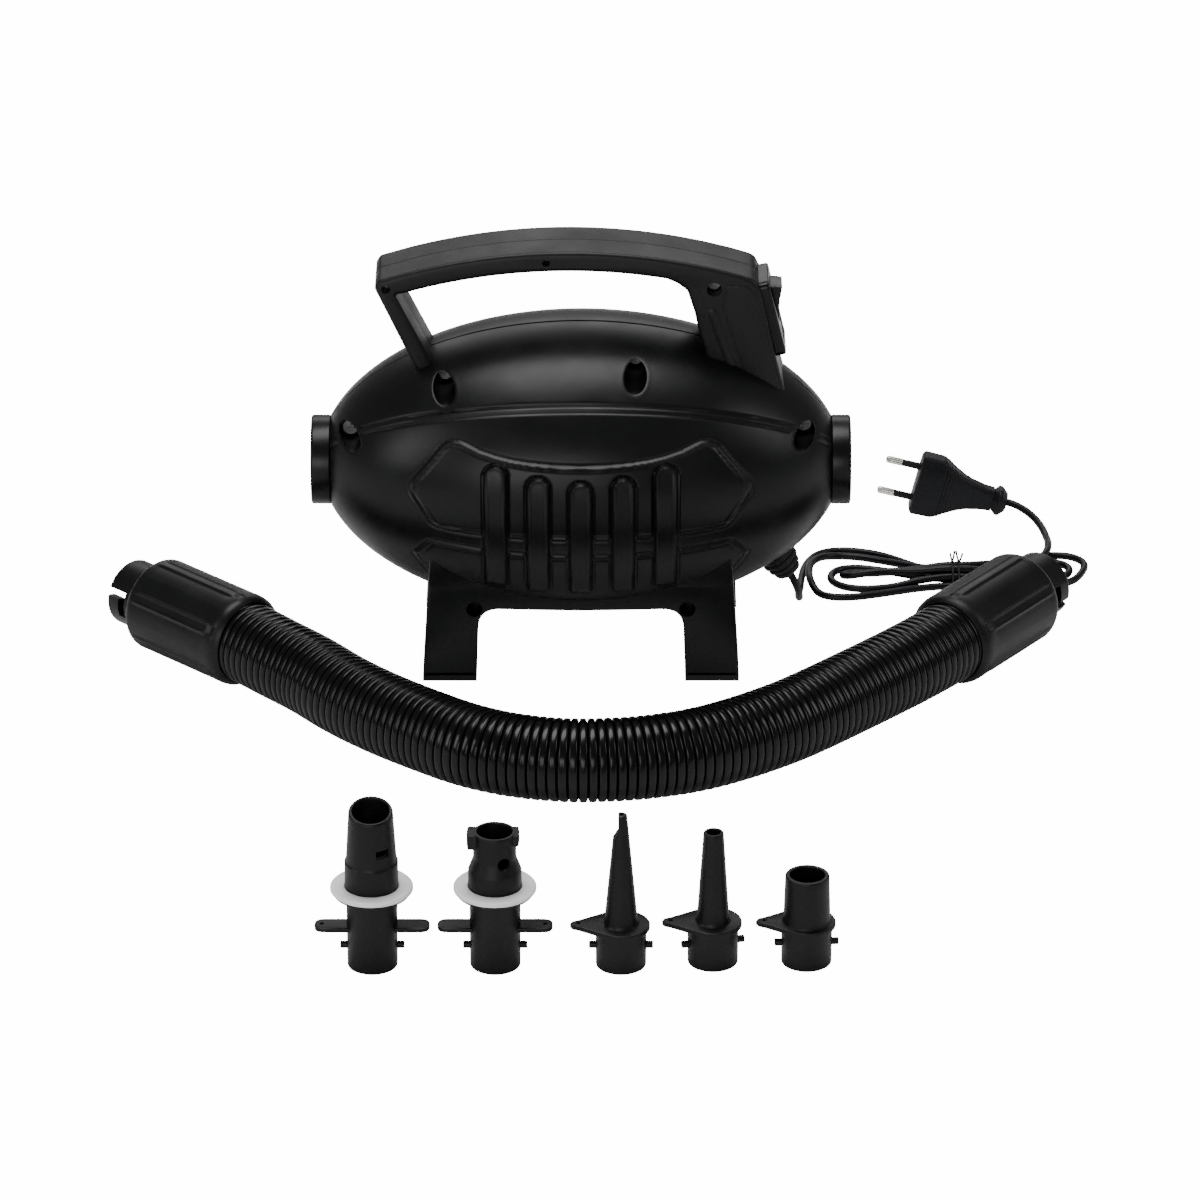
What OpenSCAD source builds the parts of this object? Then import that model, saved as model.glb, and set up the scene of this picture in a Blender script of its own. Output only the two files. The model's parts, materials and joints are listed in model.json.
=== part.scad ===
// Electric air pump for air mattresses, with its hose and five nozzles.
// The pump is an egg-shaped body lying along X, with a socket at each end,
// an arched handle that carries a rocker switch, and four moulded legs.
// Millimetres, Z up. The origin is on the floor, under the middle of the body.

/* [Body] */
// Length the egg-shaped body would have if its ends were not cut off
egg_length = 272; // [268:1:276]
// Diameter of the body at its middle
egg_dia = 157; // [155:0.5:159]
// Height of the body's axis above the floor
axis_height = 100; // [98:1:102]
// Distance from the middle of the body to each cut-off end
end_x = 130; // [129:0.5:131]
// Thickness of the moulded walls
wall = 3; // [2.6:0.1:3.2]

/* [End sockets] */
// Radius of the bore that takes a hose end
socket_r = 17.6; // [17.2:0.1:17.8]
// Outer radius of each socket collar
collar_r = 23.2; // [22.8:0.1:24]
// Length of each collar outside the body
collar_out = 10; // [9:0.5:12]

/* [Legs] */
// Distance from the middle to the outer side of a leg, at the floor
leg_out_x = 82; // [80:1:84]
// Width of a leg at the floor
leg_w = 28; // [26:1:30]
// Distance from the middle to the front face of a leg
leg_y = 58; // [57:0.5:59]
// Thickness of the rubber foot pads
pad_t = 3; // [2:0.5:4]

/* [Handle] */
// Height of the top of the handle above the floor
handle_top = 224; // [222:1:228]
// Radius of the handle's top arch
arch_r = 307; // [300:1:315]
// Thickness of the grip bar
grip_t = 10.7; // [10:0.1:12]
// Width of the handle across both halves
handle_w = 37; // [35:1:39]

/* [Switch] */
// Tilt of the switch face from upright, in degrees
face_tilt = 13.5; // [12:0.5:15]
// Tilt of the rocker to each side of its middle, in degrees
rocker_tilt = 12; // [8:1:13]
// Length of the rocker
rocker_len = 31; // [29:1:32]
// Width of the rocker
rocker_w = 15; // [13:1:16]

/* [Motor] */
// Radius of the motor shaft
shaft_r = 4; // [3.5:0.1:4.2]
// Radius of the impeller
impeller_r = 47; // [44:1:48]
// Number of blades on the impeller
blade_count = 9; // [7:1:11]
// Half the length of the iron core
core_half = 20; // [18:1:20]

/* [Cord] */
// Diameter of the mains cord
cord_d = 4; // [3.6:0.1:4.2]
// Thickness of the folded hank of cord
hank_t = 10; // [8:1:12]

/* [Hose] */
// Outer diameter of the corrugated hose
hose_d = 42.5; // [41:0.5:43]
// Outer diameter of the hose cuffs
cuff_d = 51; // [50:0.5:52]
// Length of a hose cuff
cuff_len = 70; // [66:1:72]
// Outer diameter of the bayonet tube on each cuff
bayonet_d = 34.8; // [34:0.1:35]
// Length of bayonet tube that sticks out of a cuff
bayonet_len = 18.6; // [17:0.2:20]

/* [Nozzles] */
// Outer diameter of the base of every nozzle
nozzle_d = 24.6; // [23:0.1:24.8]
// Distance across the two bayonet pegs of a nozzle
peg_span = 31; // [30:0.5:32]

/* [Hidden] */

$fn = 64;
far = 400;
fit_gap = 0.05;

// ---- body ----
egg_a = egg_length / 2;
egg_b = egg_dia / 2;
egg_steps = 30;
collar_end = end_x + collar_out;
neck_r = 21;
collar_in = end_x - 3.5;
grille_t = 1.8;

// ---- screws that join the two shells: [x, z, recess radius] ----
leg_screw_places = [[-55, 41, 4.2], [55, 41, 4.2]];
screw_places = concat(
  [[-119, 125, 5.75], [-70, 156, 5.75], [28, 164.5, 5.75], [115, 127, 5.75]],
  leg_screw_places
);
screw_seat_y = 12;
screw_shank_r = 2;
screw_head_r = 3.9;
screw_head_t = 2.8;
screw_reach = 14;

// ---- legs ----
leg_in_x = leg_out_x - leg_w;
leg_root_z = 75;
leg_back_y = 30;
leg_wall = 3.5;

// ---- ornament of the shells ----
rib_w = 11.5;
rib_places = [[0, 15.5], [21.8, 17.3], [-21.8, 17.3], [43.6, 21.9], [-43.6, 21.9]];
rib_low_angle = -35.6;
ridge_angle = 43.5;

// ---- handle ----
arch_x = -6;
arch_z = handle_top - arch_r;
grip_r = arch_r - grip_t;
half_w = handle_w / 2;
handle_wall = 3;
handle_screw_places = [[-99.6, 203.6, 3.6], [-17.7, 218.4, 3], [68.4, 203.6, 4.2]];
handle_seat_y = 8;
tenon_half = 12;
left_tenon_x = [-82.5, -77];
right_tenon_x = [74, 98];

// ---- switch, in a frame whose X is the outward normal of its face ----
face_x = 99.5;
face_z = 169;
switch_mid_z = 184.3;
bezel_t = 5.5;
bezel_h = 42;
bezel_w = 30;
bezel_hole_w = rocker_w + 1;
bezel_hole_h = rocker_len + 1.2;
switch_x = face_x - (switch_mid_z - face_z) * tan(face_tilt) + bezel_t * cos(face_tilt);
switch_z = switch_mid_z + bezel_t * sin(face_tilt);
pivot_depth = 2;
trunnion_r = 1.5;

// ---- motor, along the body's axis ----
mount_ring_r = 58;
fan_can_r = 53;
fan_can_x = [-62, -38];
bolt_at = 23;
rear_boss_r = 13;
rear_seat_r = 16.2;

// ---- cord gland: a point on the shell and the outward direction there ----
gland_x = 101;
gland_z = 47.4;
gland_turn = 147.3;

// ---- clamp that holds the cord inside the body ----
clamp_x = 84;
clamp_z = 57.2;

// ---- mains cord, from the gland to the hank and from the hank to the plug ----
cord_route_pump = [
  [109, 0, 35], [111, 0.5, 31], [113, 4, 25], [114.5, 11, 17.5], [115, 20, 11],
  [115, 30, 6.5], [115.2, 40, 3.5], [116.6, 48, 2.5], [119.4, 55, 2.4], [123, 60, 2.4]
];
cord_route_plug = [
  [249, 86, 6.9], [250.2, 94, 6.2], [250.6, 103, 4.2], [250, 112, 3.2], [248.2, 121.5, 4],
  [245, 130.5, 5], [240.4, 138.2, 6.1], [235.2, 143.6, 7], [231, 146, 7.5], [228.4, 146.3, 8]
];
hank_left = [141, 67, 24];
hank_left_low = [143, 60, 22];
hank_tie = [199, 60, 7.5];
hank_right = [250, 70, 18];

// ---- mains plug: middle of its front face, and its nose-up pitch ----
plug_face = [180.8, 146.3, 19.82];
plug_pitch = 14;
plug_h = 35;
plug_t = 14;
pin_pitch = 18.6;
pin_len = 19;

// ---- hose: outer face and heading of each cuff, and the hose's route ----
cuff_z = cuff_d / 2;
left_cuff = [-222, -16, cuff_z];
left_heading = 136;
right_cuff = [231, -8, cuff_z];
right_heading = 53.5;
hose_tuck = 16;
hose_route = [
  [-183.2, -53.5, 25.5], [-171.7, -64.7, 25.3], [-155, -82, 24.5], [-138, -99, 23.5],
  [-121, -119, 22.5], [-102, -138, 21.8], [-80, -157, 21.5], [-56, -175, 21.4],
  [-33, -186, 21.4], [-8, -191.5, 21.4], [16, -191, 21.4], [38, -187, 21.4],
  [60, -179, 21.4], [82, -166, 21.5], [104, -149.5, 21.8], [120, -135, 22.2],
  [136, -119.5, 22.8], [154, -102, 23.6], [172, -84, 24.6], [189.3, -64.3, 25.3],
  [198.8, -51.4, 25.5]
];

// ---- nozzles: place of the middle of each base ----
nozzle_r = nozzle_d / 2;
nozzle_places = [[-99.8, -367], [-40.6, -367], [20, -367], [64.3, -364], [109.5, -364]];
nozzle_wall = 2;
peg_z = 10.6;
wing_z = 19.6;

// ================= helpers =================

// Radius of the egg at a distance x from its middle, after growing it by some amount
function egg_r(x, grow) = (egg_b + grow) * sqrt(max(0, 1 - pow(x / (egg_a + grow), 2)));

// Height of a circular arch of radius r over the point x
function arch_at(x, r) = arch_z + sqrt(r * r - pow(x - arch_x, 2));

// Points of an arch from x0 to x1
function arch_points(x0, x1, r, n) = [
  for (i = [0 : n]) let (x = x0 + (x1 - x0) * i / n) [x, arch_at(x, r)]
];

// Points of a circular arc in the plane
function arc_points(cx, cy, r, a0, a1, n) = [
  for (i = [0 : n]) let (a = a0 + (a1 - a0) * i / n) [cx + r * cos(a), cy + r * sin(a)]
];

function unit(v) = v / max(1e-9, norm(v));

// A point on a smooth curve through four points, at t from 0 to 1 between the middle two
function curve_point(p0, p1, p2, p3, t) =
  0.5 * ((2 * p1) + (p2 - p0) * t + (2 * p0 - 5 * p1 + 4 * p2 - p3) * t * t
  + (3 * p1 - p0 - 3 * p2 + p3) * t * t * t);

// A route with some points put in between, on a smooth curve
function smooth_route(pts, parts) = concat(
  [for (i = [0 : len(pts) - 2], k = [0 : parts - 1])
    curve_point(pts[max(0, i - 1)], pts[i], pts[i + 1], pts[min(len(pts) - 1, i + 2)], k / parts)],
  [pts[len(pts) - 1]]
);

function route_heading(pts, i) =
  unit(pts[min(len(pts) - 1, i + 1)] - pts[max(0, i - 1)]);

// A side direction carried along a route, kept square to the heading
function carried_side(pts, i, before) =
  let (h = route_heading(pts, i)) unit(before - h * (before * h));

function all_sides(pts, i, side) = i >= len(pts) ? [] :
  let (s = carried_side(pts, i, side)) concat([s], all_sides(pts, i + 1, s));

// A round tube swept along a route
module swept_tube(pts, r, sides) {
  n = len(pts);
  first = abs(route_heading(pts, 0).z) > 0.9 ? [1, 0, 0] : [0, 0, 1];
  s = all_sides(pts, 0, first);
  rings = [for (i = [0 : n - 1], k = [0 : sides - 1])
    let (a = 360 * k / sides, h = route_heading(pts, i), t = cross(h, s[i]))
      pts[i] + r * (cos(a) * s[i] + sin(a) * t)];
  walls = [for (i = [0 : n - 2], k = [0 : sides - 1])
    let (m = (k + 1) % sides) [i * sides + k, (i + 1) * sides + k,
      (i + 1) * sides + m, i * sides + m]];
  start = [[for (k = [0 : sides - 1]) k]];
  finish = [[for (k = [sides - 1 : -1 : 0]) (n - 1) * sides + k]];
  polyhedron(points = rings, faces = concat(walls, start, finish), convexity = 6);
}

// Puts something made along Z onto the body's axis, its Z along X
module on_axis() {
  translate([0, 0, axis_height]) rotate([0, 90, 0]) children();
}

module ring(r_out, r_in, z0, z1) {
  difference() {
    translate([0, 0, z0]) cylinder(r = r_out, h = z1 - z0);
    translate([0, 0, z0 - 1]) cylinder(r = r_in, h = z1 - z0 + 2);
  }
}

// An upright cut in the plane of X and Z, from y0 towards the front to y1
module front_cut(y0, y1) {
  translate([0, -y0, 0]) rotate([90, 0, 0]) linear_extrude(y1 - y0) children();
}

// A hole along Y from y0 towards the front to y1
module front_hole(x, z, r, y0, y1) {
  translate([x, -y0, z]) rotate([90, 0, 0]) cylinder(r = r, h = y1 - y0);
}

module front_half() {
  translate([-far / 2, -far, -1]) cube([far, far, far]);
}

// The egg-shaped solid, grown by some amount and cut off at both ends
module egg_solid(grow, reach) {
  profile = concat(
    [for (i = [0 : egg_steps]) let (x = -reach + 2 * reach * i / egg_steps) [egg_r(x, grow), x]],
    [[0, reach], [0, -reach]]
  );
  on_axis() rotate_extrude($fn = 96) polygon(profile);
}

// ================= shells =================

// One of the front legs, in outline: side is 1 or -1
module leg_outline(side) {
  root_w = 28;
  polygon([
    [side * leg_out_x, pad_t], [side * (leg_out_x - 4.5), leg_root_z],
    [side * (leg_out_x - 4.5 - root_w), leg_root_z],
    [side * (leg_in_x - 4), 46], [side * (leg_in_x - 2), 38], [side * leg_in_x, pad_t]
  ]);
}

// Lower edge of the body between two legs, with a fillet into each leg
module skirt_outline() {
  half_edge = [
    [0, 39.8], [20, 40.1], [42, 40.6], [46.6, 39.6], [50.2, 37.2], [52.4, 34], [53.4, 30.5],
    [55, 30.5], [55, 60]
  ];
  polygon(concat(half_edge, [for (i = [len(half_edge) - 1 : -1 : 1]) [-half_edge[i][0], half_edge[i][1]]]));
}

module leg_pocket(side) {
  x0 = side > 0 ? leg_in_x + leg_wall : -leg_out_x + leg_wall;
  translate([x0, -leg_y + leg_wall, pad_t - 1])
    cube([leg_w - 2 * leg_wall, leg_y - leg_back_y - 2 * leg_wall, 24]);
}

module rib_bar(x, top_angle) {
  z0 = axis_height + egg_r(x, 0) * sin(rib_low_angle);
  z1 = axis_height + egg_r(x, 0) * sin(top_angle) - rib_w / 2;
  translate([x - rib_w / 2, -egg_b - 4, z0]) cube([rib_w, egg_b, z1 - z0]);
  front_hole(x, z1, rib_w / 2, 4, egg_b + 4);
}

// Raised panel that frames the ribs, seen from the front
module panel_outline() {
  polygon([
    [-74, 91], [-78, 108], [-66, 134], [-52, 133], [-36, 127.5], [0, 126],
    [36, 127.5], [52, 133], [66, 134], [78, 108], [74, 91]
  ]);
}

module low_panel_outline() {
  polygon([[-74, 80], [-79, 72], [-64, 50], [64, 50], [79, 72], [74, 80]]);
}

module ridge_band() {
  translate([0, 0, axis_height]) rotate([-ridge_angle, 0, 0])
    translate([-end_x, -egg_b - 3, -1.3]) cube([2 * end_x, 70, 2.6]);
}

module front_ornament() {
  intersection() {
    egg_solid(0.8, end_x);
    union() {
      ridge_band();
      front_cut(20, far / 2) panel_outline();
      front_cut(20, far / 2) low_panel_outline();
    }
  }
  intersection() {
    egg_solid(2, end_x);
    union() for (p = rib_places) rib_bar(p[0], p[1]);
  }
}

// Ribs inside a shell that hold the rubber ring round the fan housing
module fan_seat() {
  on_axis() difference() {
    ring(egg_b, 54, -58.5, -45.5);
    ring(mount_ring_r + 0.2, 50, -56.3, -47.7);
    ring(far / 4, mount_ring_r + 2.2, -56.3, -47.7);
  }
}

// Half ring on a beam that holds the rubber ring at the rear of the motor
module rear_seat() {
  on_axis() ring(rear_seat_r + 2.4, rear_seat_r, 52, 60);
  translate([54.5, -egg_b, axis_height - 6]) cube([3, egg_b - rear_seat_r - 1.5, 12]);
}

module screw_post(p) {
  front_hole(p[0], p[1], p[2] + 2, 0.05, egg_b);
}

// Front half of the body. Mirrored, with pilot holes in place of recesses, it is the back half.
module half_shell(recessed) {
  difference() {
    union() {
      difference() {
        union() {
          intersection() {
            egg_solid(0, end_x);
            front_half();
          }
          intersection() {
            front_ornament();
            front_half();
          }
          front_cut(leg_back_y, leg_y) {
            for (side = [-1, 1]) leg_outline(side);
            skirt_outline();
          }
        }
        egg_solid(-wall, collar_in + 1.5);
        for (side = [-1, 1]) leg_pocket(side);
      }
      intersection() {
        union() {
          for (p = screw_places) screw_post(p);
          fan_seat();
          rear_seat();
        }
        egg_solid(-wall / 2, end_x - 1);
        front_half();
      }
    }
    on_axis() for (m = [0, 1]) mirror([0, 0, m])
      translate([0, 0, collar_in - 0.2]) cylinder(r = neck_r + fit_gap, h = 40);
    if (recessed) {
      for (p = screw_places) {
        front_hole(p[0], p[1], p[2], screw_seat_y, far / 2);
        front_hole(p[0], p[1], screw_shank_r + 0.2, -1, screw_seat_y + 1);
      }
    } else {
      for (p = screw_places) front_hole(p[0], p[1], screw_shank_r + fit_gap, -1, screw_reach + 1);
    }
    gland_place() translate([0, 0, -12]) cylinder(r = 6.6, h = 24);
    for (t = [left_tenon_x, right_tenon_x])
      translate([t[0] - 0.3, -tenon_half - 0.3, axis_height + 20])
        cube([t[1] - t[0] + 0.6, far / 4, far / 4]);
  }
}

module front_shell() {
  color([0.09, 0.09, 0.1]) half_shell(true);
}

module back_shell() {
  color([0.08, 0.08, 0.09]) mirror([0, 1, 0]) half_shell(false);
}

module foot_pads() {
  inset = leg_wall + 0.3;
  color([0.04, 0.04, 0.04])
    for (side = [-1, 1], back = [0, 1]) mirror([0, back, 0]) {
      x0 = side > 0 ? leg_in_x : -leg_out_x;
      translate([x0, -leg_y, 0]) cube([leg_w, leg_y - leg_back_y, pad_t]);
      translate([x0 + inset, -leg_y + inset, pad_t])
        cube([leg_w - 2 * inset, leg_y - leg_back_y - 2 * inset, 6]);
    }
}

// A pan-head screw along Y with its head towards the front
module screw(x, z, seat_y, head_r, head_t, shank_r, reach) {
  front_hole(x, z, head_r, seat_y, seat_y + head_t);
  front_hole(x, z, shank_r, -reach, seat_y);
}

module cross_slot(x, z, y, size) {
  for (a = [0, 90])
    translate([x, -y, z]) rotate([0, a, 0]) translate([-size, -1.2, -0.45]) cube([2 * size, 2, 0.9]);
}

module shell_screws() {
  color([0.55, 0.55, 0.58])
    for (p = screw_places) difference() {
      screw(p[0], p[1], screw_seat_y, screw_head_r, screw_head_t, screw_shank_r, screw_reach);
      cross_slot(p[0], p[1], screw_seat_y + screw_head_t, 2.2);
    }
}

// ================= handle =================

// Outline of the whole handle; its feet run on into the body
function handle_outline() = concat(
  [[-77, 141]],
  [[-105.6, 203.5]], [[-103.6, 208]],
  arch_points(-97, 84, arch_r, 24),
  [[89.6, 207.4], [91.5, 203.2], [face_x, face_z], [105.5, 145], [109, 133]],
  [[70, 133], [63, 171.5], [61, 178], [59, 189], [55, 202], [51, 206.8]],
  arch_points(48, -92, grip_r, 20),
  [[-94.6, 199.6], [-66, 141]]
);

module handle_hollow() {
  grip_core = concat(
    arch_points(-84, 58, arch_r - handle_wall, 14),
    arch_points(58, -84, grip_r + handle_wall, 14)
  );
  polygon(grip_core);
  polygon([[66, 207], [84, 204.5], [92.5, 162], [92, 158], [69.5, 158], [66.5, 177], [64, 190]]);
}

// Narrow way for the wires, from the switch down through the right-hand tenon
module wire_way() {
  translate([right_tenon_x[0] + 3.5, -8.5, axis_height])
    cube([right_tenon_x[1] - right_tenon_x[0] - 7, 20, 70]);
}

module handle_half() {
  difference() {
    front_cut(0.05, half_w) polygon(handle_outline());
    difference() {
      front_cut(-1, half_w - handle_wall) handle_hollow();
      for (p = handle_screw_places) front_hole(p[0], p[1], p[2] + 1.8, -2, half_w);
    }
    wire_way();
    difference() {
      egg_solid(0.15, end_x);
      difference() {
        union() for (t = [left_tenon_x, right_tenon_x])
          translate([t[0], -tenon_half, axis_height + 20]) cube([t[1] - t[0], tenon_half - 0.05, 80]);
        egg_solid(-wall - 4, end_x);
      }
    }
    switch_place() {
      translate([-26, -10.4, -18.4]) cube([26 - bezel_t + 1, 20.8, 36.8]);
      translate([-bezel_t, -bezel_w / 2 - 0.3, -bezel_h / 2 - 0.3])
        cube([2 * bezel_t, bezel_w + 0.6, bezel_h + 0.6]);
    }
    children();
  }
}

module handle_front() {
  color([0.1, 0.1, 0.11]) handle_half()
    for (p = handle_screw_places) {
      front_hole(p[0], p[1], p[2], handle_seat_y, far / 4);
      front_hole(p[0], p[1], 1.6, -1, handle_seat_y + 1);
    }
}

module handle_back() {
  color([0.09, 0.09, 0.1]) mirror([0, 1, 0]) handle_half()
    for (p = handle_screw_places) front_hole(p[0], p[1], 1.45, -1, 11);
}

module handle_screws() {
  color([0.5, 0.5, 0.53])
    for (p = handle_screw_places) difference() {
      screw(p[0], p[1], handle_seat_y, min(3.3, p[2] - 0.3), 2.2, 1.4, 10);
      cross_slot(p[0], p[1], handle_seat_y + 2.2, 1.6);
    }
}

// ================= end sockets =================

// Collar along Z: the neck sits in the shells, the mouth is at the far end
module collar() {
  rotate_extrude($fn = 96) polygon([
    [socket_r + 1.6, collar_in], [neck_r, collar_in], [neck_r, end_x + 0.1],
    [collar_r, end_x + 0.1], [collar_r, collar_end - 1.2], [collar_r - 1.2, collar_end],
    [socket_r + 1, collar_end], [socket_r, collar_end - 1],
    [socket_r, end_x + 2], [socket_r + 1, end_x + 2],
    [socket_r + 1, collar_in + grille_t + 0.1], [socket_r + 1.6, collar_in + grille_t + 0.1]
  ]);
  for (a = [0, 180]) rotate([0, 0, a])
    translate([socket_r - 3, 0, end_x]) rotate([0, 90, 0]) cylinder(r = 1.6, h = 4.6);
}

module end_grille() {
  r = socket_r + 1.5;
  z1 = collar_in + grille_t;
  ring(r, r - 1.7, collar_in, z1);
  ring(12.4, 10.8, collar_in, z1);
  translate([0, 0, collar_in]) cylinder(r = 4, h = grille_t);
  for (a = [0 : 60 : 300]) rotate([0, 0, a])
    translate([3, -0.8, collar_in]) cube([r - 4, 1.6, grille_t]);
}

module inlet_collar() {
  color([0.07, 0.07, 0.08]) on_axis() mirror([0, 0, 1]) collar();
}

module outlet_collar() {
  color([0.07, 0.07, 0.08]) on_axis() collar();
}

module inlet_grille() {
  color([0.12, 0.12, 0.12]) on_axis() mirror([0, 0, 1]) end_grille();
}

module outlet_grille() {
  color([0.12, 0.12, 0.12]) on_axis() end_grille();
}

// ================= rocker switch =================

module switch_place() {
  translate([switch_x, 0, switch_z]) rotate([0, -face_tilt, 0]) children();
}

module switch_bezel() {
  color([0.05, 0.05, 0.05]) switch_place() difference() {
    translate([-bezel_t + 0.1, -bezel_w / 2, -bezel_h / 2]) cube([bezel_t - 0.1, bezel_w, bezel_h]);
    translate([-bezel_t - 1, -bezel_hole_w / 2, -bezel_hole_h / 2])
      cube([bezel_t + 2, bezel_hole_w, bezel_hole_h]);
    translate([-pivot_depth, bezel_hole_w / 2 + 3.2, 0]) rotate([90, 0, 0])
      cylinder(r = trunnion_r + 0.06, h = bezel_hole_w + 6.4);
    for (s = [-1, 1]) {
      translate([0, 0, s * bezel_h / 2]) rotate([0, s * 45, 0])
        translate([-1, -bezel_w, -1]) cube([2, 2 * bezel_w, 2]);
      translate([0, s * bezel_w / 2, 0]) rotate([0, 0, 45])
        translate([-1, -1, -bezel_h]) cube([2, 2, 2 * bezel_h]);
    }
  }
}

// The rocker about its own pivot, untilted
module rocker_profile() {
  half = rocker_len / 2;
  intersection() {
    circle(r = half, $fn = 96);
    polygon([
      [-2.5, -half], [4.9, -half], [4.2, -half * 0.7], [3.2, -half * 0.3], [2.9, 0],
      [3.2, half * 0.3], [4.2, half * 0.7], [4.9, half], [-2.5, half]
    ]);
  }
}

module switch_rocker() {
  color([0.03, 0.03, 0.03]) switch_place() translate([-pivot_depth, 0, 0]) rotate([0, rocker_tilt, 0]) {
    translate([0, rocker_w / 2, 0]) rotate([90, 0, 0]) linear_extrude(rocker_w) rocker_profile();
    translate([0, bezel_hole_w / 2 + 2.6, 0]) rotate([90, 0, 0])
      cylinder(r = trunnion_r, h = bezel_hole_w + 5.2);
  }
}

module switch_body() {
  cavity = 10;
  color([0.1, 0.1, 0.1]) switch_place() difference() {
    translate([-24, -10, -18]) cube([24 - bezel_t, 20, 36]);
    translate([-cavity, -bezel_hole_w / 2, -bezel_hole_h / 2])
      cube([cavity, bezel_hole_w, bezel_hole_h]);
  }
}

module switch_terminals() {
  color([0.8, 0.6, 0.25]) switch_place()
    for (z = [-7, 7]) translate([-31, -3.2, z - 0.4]) cube([7, 6.4, 0.8]);
}

// ================= motor and fan =================

module at_bolts() {
  for (a = [45 : 90 : 315]) rotate([0, 0, a]) translate([bolt_at * sqrt(2), 0, 0]) children();
}

module stator_core() {
  color([0.42, 0.43, 0.45]) on_axis() difference() {
    intersection() {
      translate([-31, -31, -core_half]) cube([62, 62, 2 * core_half]);
      translate([0, 0, -core_half]) cylinder(r = 38, h = 2 * core_half);
    }
    translate([0, 0, -far / 2]) cylinder(r = 19.6, h = far);
    for (s = [0, 180]) rotate([0, 0, s]) translate([-11, 15, -far / 2]) cube([22, 12.2, far]);
    at_bolts() translate([0, 0, -far / 2]) cylinder(r = 2.1, h = far);
  }
}

module field_coils() {
  reach = core_half + 8;
  color([0.72, 0.36, 0.15]) on_axis() for (s = [0, 180]) rotate([0, 0, s]) {
    for (m = [0, 1]) mirror([0, m, 0]) translate([1, 20.2, -reach]) cube([9, 6.4, 2 * reach]);
    intersection() {
      union() for (z0 = [-reach, core_half + 0.2]) ring(26.6, 20.2, z0, z0 + 7.8);
      translate([1, -far / 2, -far / 2]) cube([far, far, far]);
    }
  }
}

module fan_end_bracket() {
  color([0.6, 0.61, 0.63]) on_axis() difference() {
    union() {
      translate([0, 0, -41]) cylinder(r = 50.8, h = 3);
      translate([0, 0, -42]) cylinder(r = 14, h = 11);
      at_bolts() translate([0, 0, -39]) cylinder(r = 5, h = 39 - core_half);
    }
    for (a = [0 : 30 : 330]) rotate([0, 0, a]) translate([42.5, 0, -50]) cylinder(r = 5, h = 20);
    translate([0, 0, -38]) cylinder(r = 11 + fit_gap, h = 20);
    translate([0, 0, -50]) cylinder(r = shaft_r + 0.6, h = 40);
    at_bolts() translate([0, 0, -60]) cylinder(r = 2.1, h = 60);
  }
}

module rear_bracket() {
  color([0.6, 0.61, 0.63]) on_axis() difference() {
    union() {
      for (a = [45, 135]) rotate([0, 0, a]) translate([-37, -6, 48]) cube([74, 12, 3]);
      translate([0, 0, 48]) cylinder(r = rear_boss_r, h = 12);
      at_bolts() translate([0, 0, core_half]) cylinder(r = 5, h = 48 - core_half);
    }
    translate([0, 0, 52]) cylinder(r = 9.5 + fit_gap, h = 20);
    translate([0, 0, 40]) cylinder(r = shaft_r + 0.6, h = 30);
    at_bolts() translate([0, 0, 0]) cylinder(r = 2.1, h = 60);
  }
}

module motor_bolts() {
  color([0.7, 0.7, 0.72]) on_axis() at_bolts() {
    translate([0, 0, -40]) cylinder(r = 2, h = 91);
    translate([0, 0, 51]) cylinder(r = 3.8, h = 3, $fn = 6);
  }
}

module motor_bearings() {
  color([0.78, 0.78, 0.8]) on_axis() {
    ring(11, shaft_r + 0.03, -38, -31);
    ring(9.5, shaft_r + 0.03, 52, 58);
  }
}

module motor_shaft() {
  color([0.82, 0.82, 0.84]) on_axis() translate([0, 0, -66]) cylinder(r = shaft_r, h = 132);
}

module armature_core() {
  color([0.4, 0.41, 0.43]) on_axis() difference() {
    ring(19.1, shaft_r + fit_gap, -core_half, core_half);
    for (a = [0 : 30 : 330]) rotate([0, 0, a]) translate([18.4, 0, -far / 2]) cylinder(r = 1.7, h = far, $fn = 24);
  }
}

module armature_winding() {
  color([0.75, 0.38, 0.16]) on_axis() for (m = [0, 1]) mirror([0, 0, m]) rotate_extrude() polygon([
    [5, core_half + 0.1], [17.2, core_half + 0.1], [17.2, 24.5], [13, 28.5], [5, 28.5]
  ]);
}

module commutator() {
  color([0.78, 0.48, 0.26]) on_axis() difference() {
    ring(11.5, shaft_r + fit_gap, 29.5, 44);
    for (a = [0 : 30 : 330]) rotate([0, 0, a]) translate([10.6, -0.3, 29]) cube([3, 0.6, 13]);
  }
}

module brush_holders() {
  color([0.5, 0.3, 0.12]) on_axis() {
    difference() {
      ring(34, 14.5, 45.4, 47.6);
      at_bolts() translate([0, 0, 40]) cylinder(r = 5.3, h = 12);
    }
    for (s = [0, 180]) rotate([0, 0, s]) difference() {
      translate([-4.6, 13, 31]) cube([9.2, 19, 14.4]);
      translate([-3.2, 12, 33]) cube([6.4, 18, 8.4]);
    }
  }
}

module carbon_brushes() {
  color([0.15, 0.15, 0.16]) on_axis() for (s = [0, 180]) rotate([0, 0, s])
    translate([-3, 11.65, 33.2]) cube([6, 15, 8]);
}

module impeller() {
  blade_r = 30;
  color([0.85, 0.85, 0.82]) on_axis() {
    difference() {
      union() {
        translate([0, 0, -46]) cylinder(r = impeller_r, h = 2);
        translate([0, 0, -57]) cylinder(r = 9, h = 12);
        ring(impeller_r, 20, -57, -55.4);
        intersection() {
          ring(impeller_r - 0.5, 12, -56.5, -45.5);
          union() for (i = [0 : blade_count - 1]) rotate([0, 0, i * 360 / blade_count])
            translate([0, 28, 0]) ring(blade_r, blade_r - 1.6, -56, -45.5);
        }
      }
      translate([0, 0, -60]) cylinder(r = shaft_r + fit_gap, h = 20);
    }
  }
}

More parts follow.
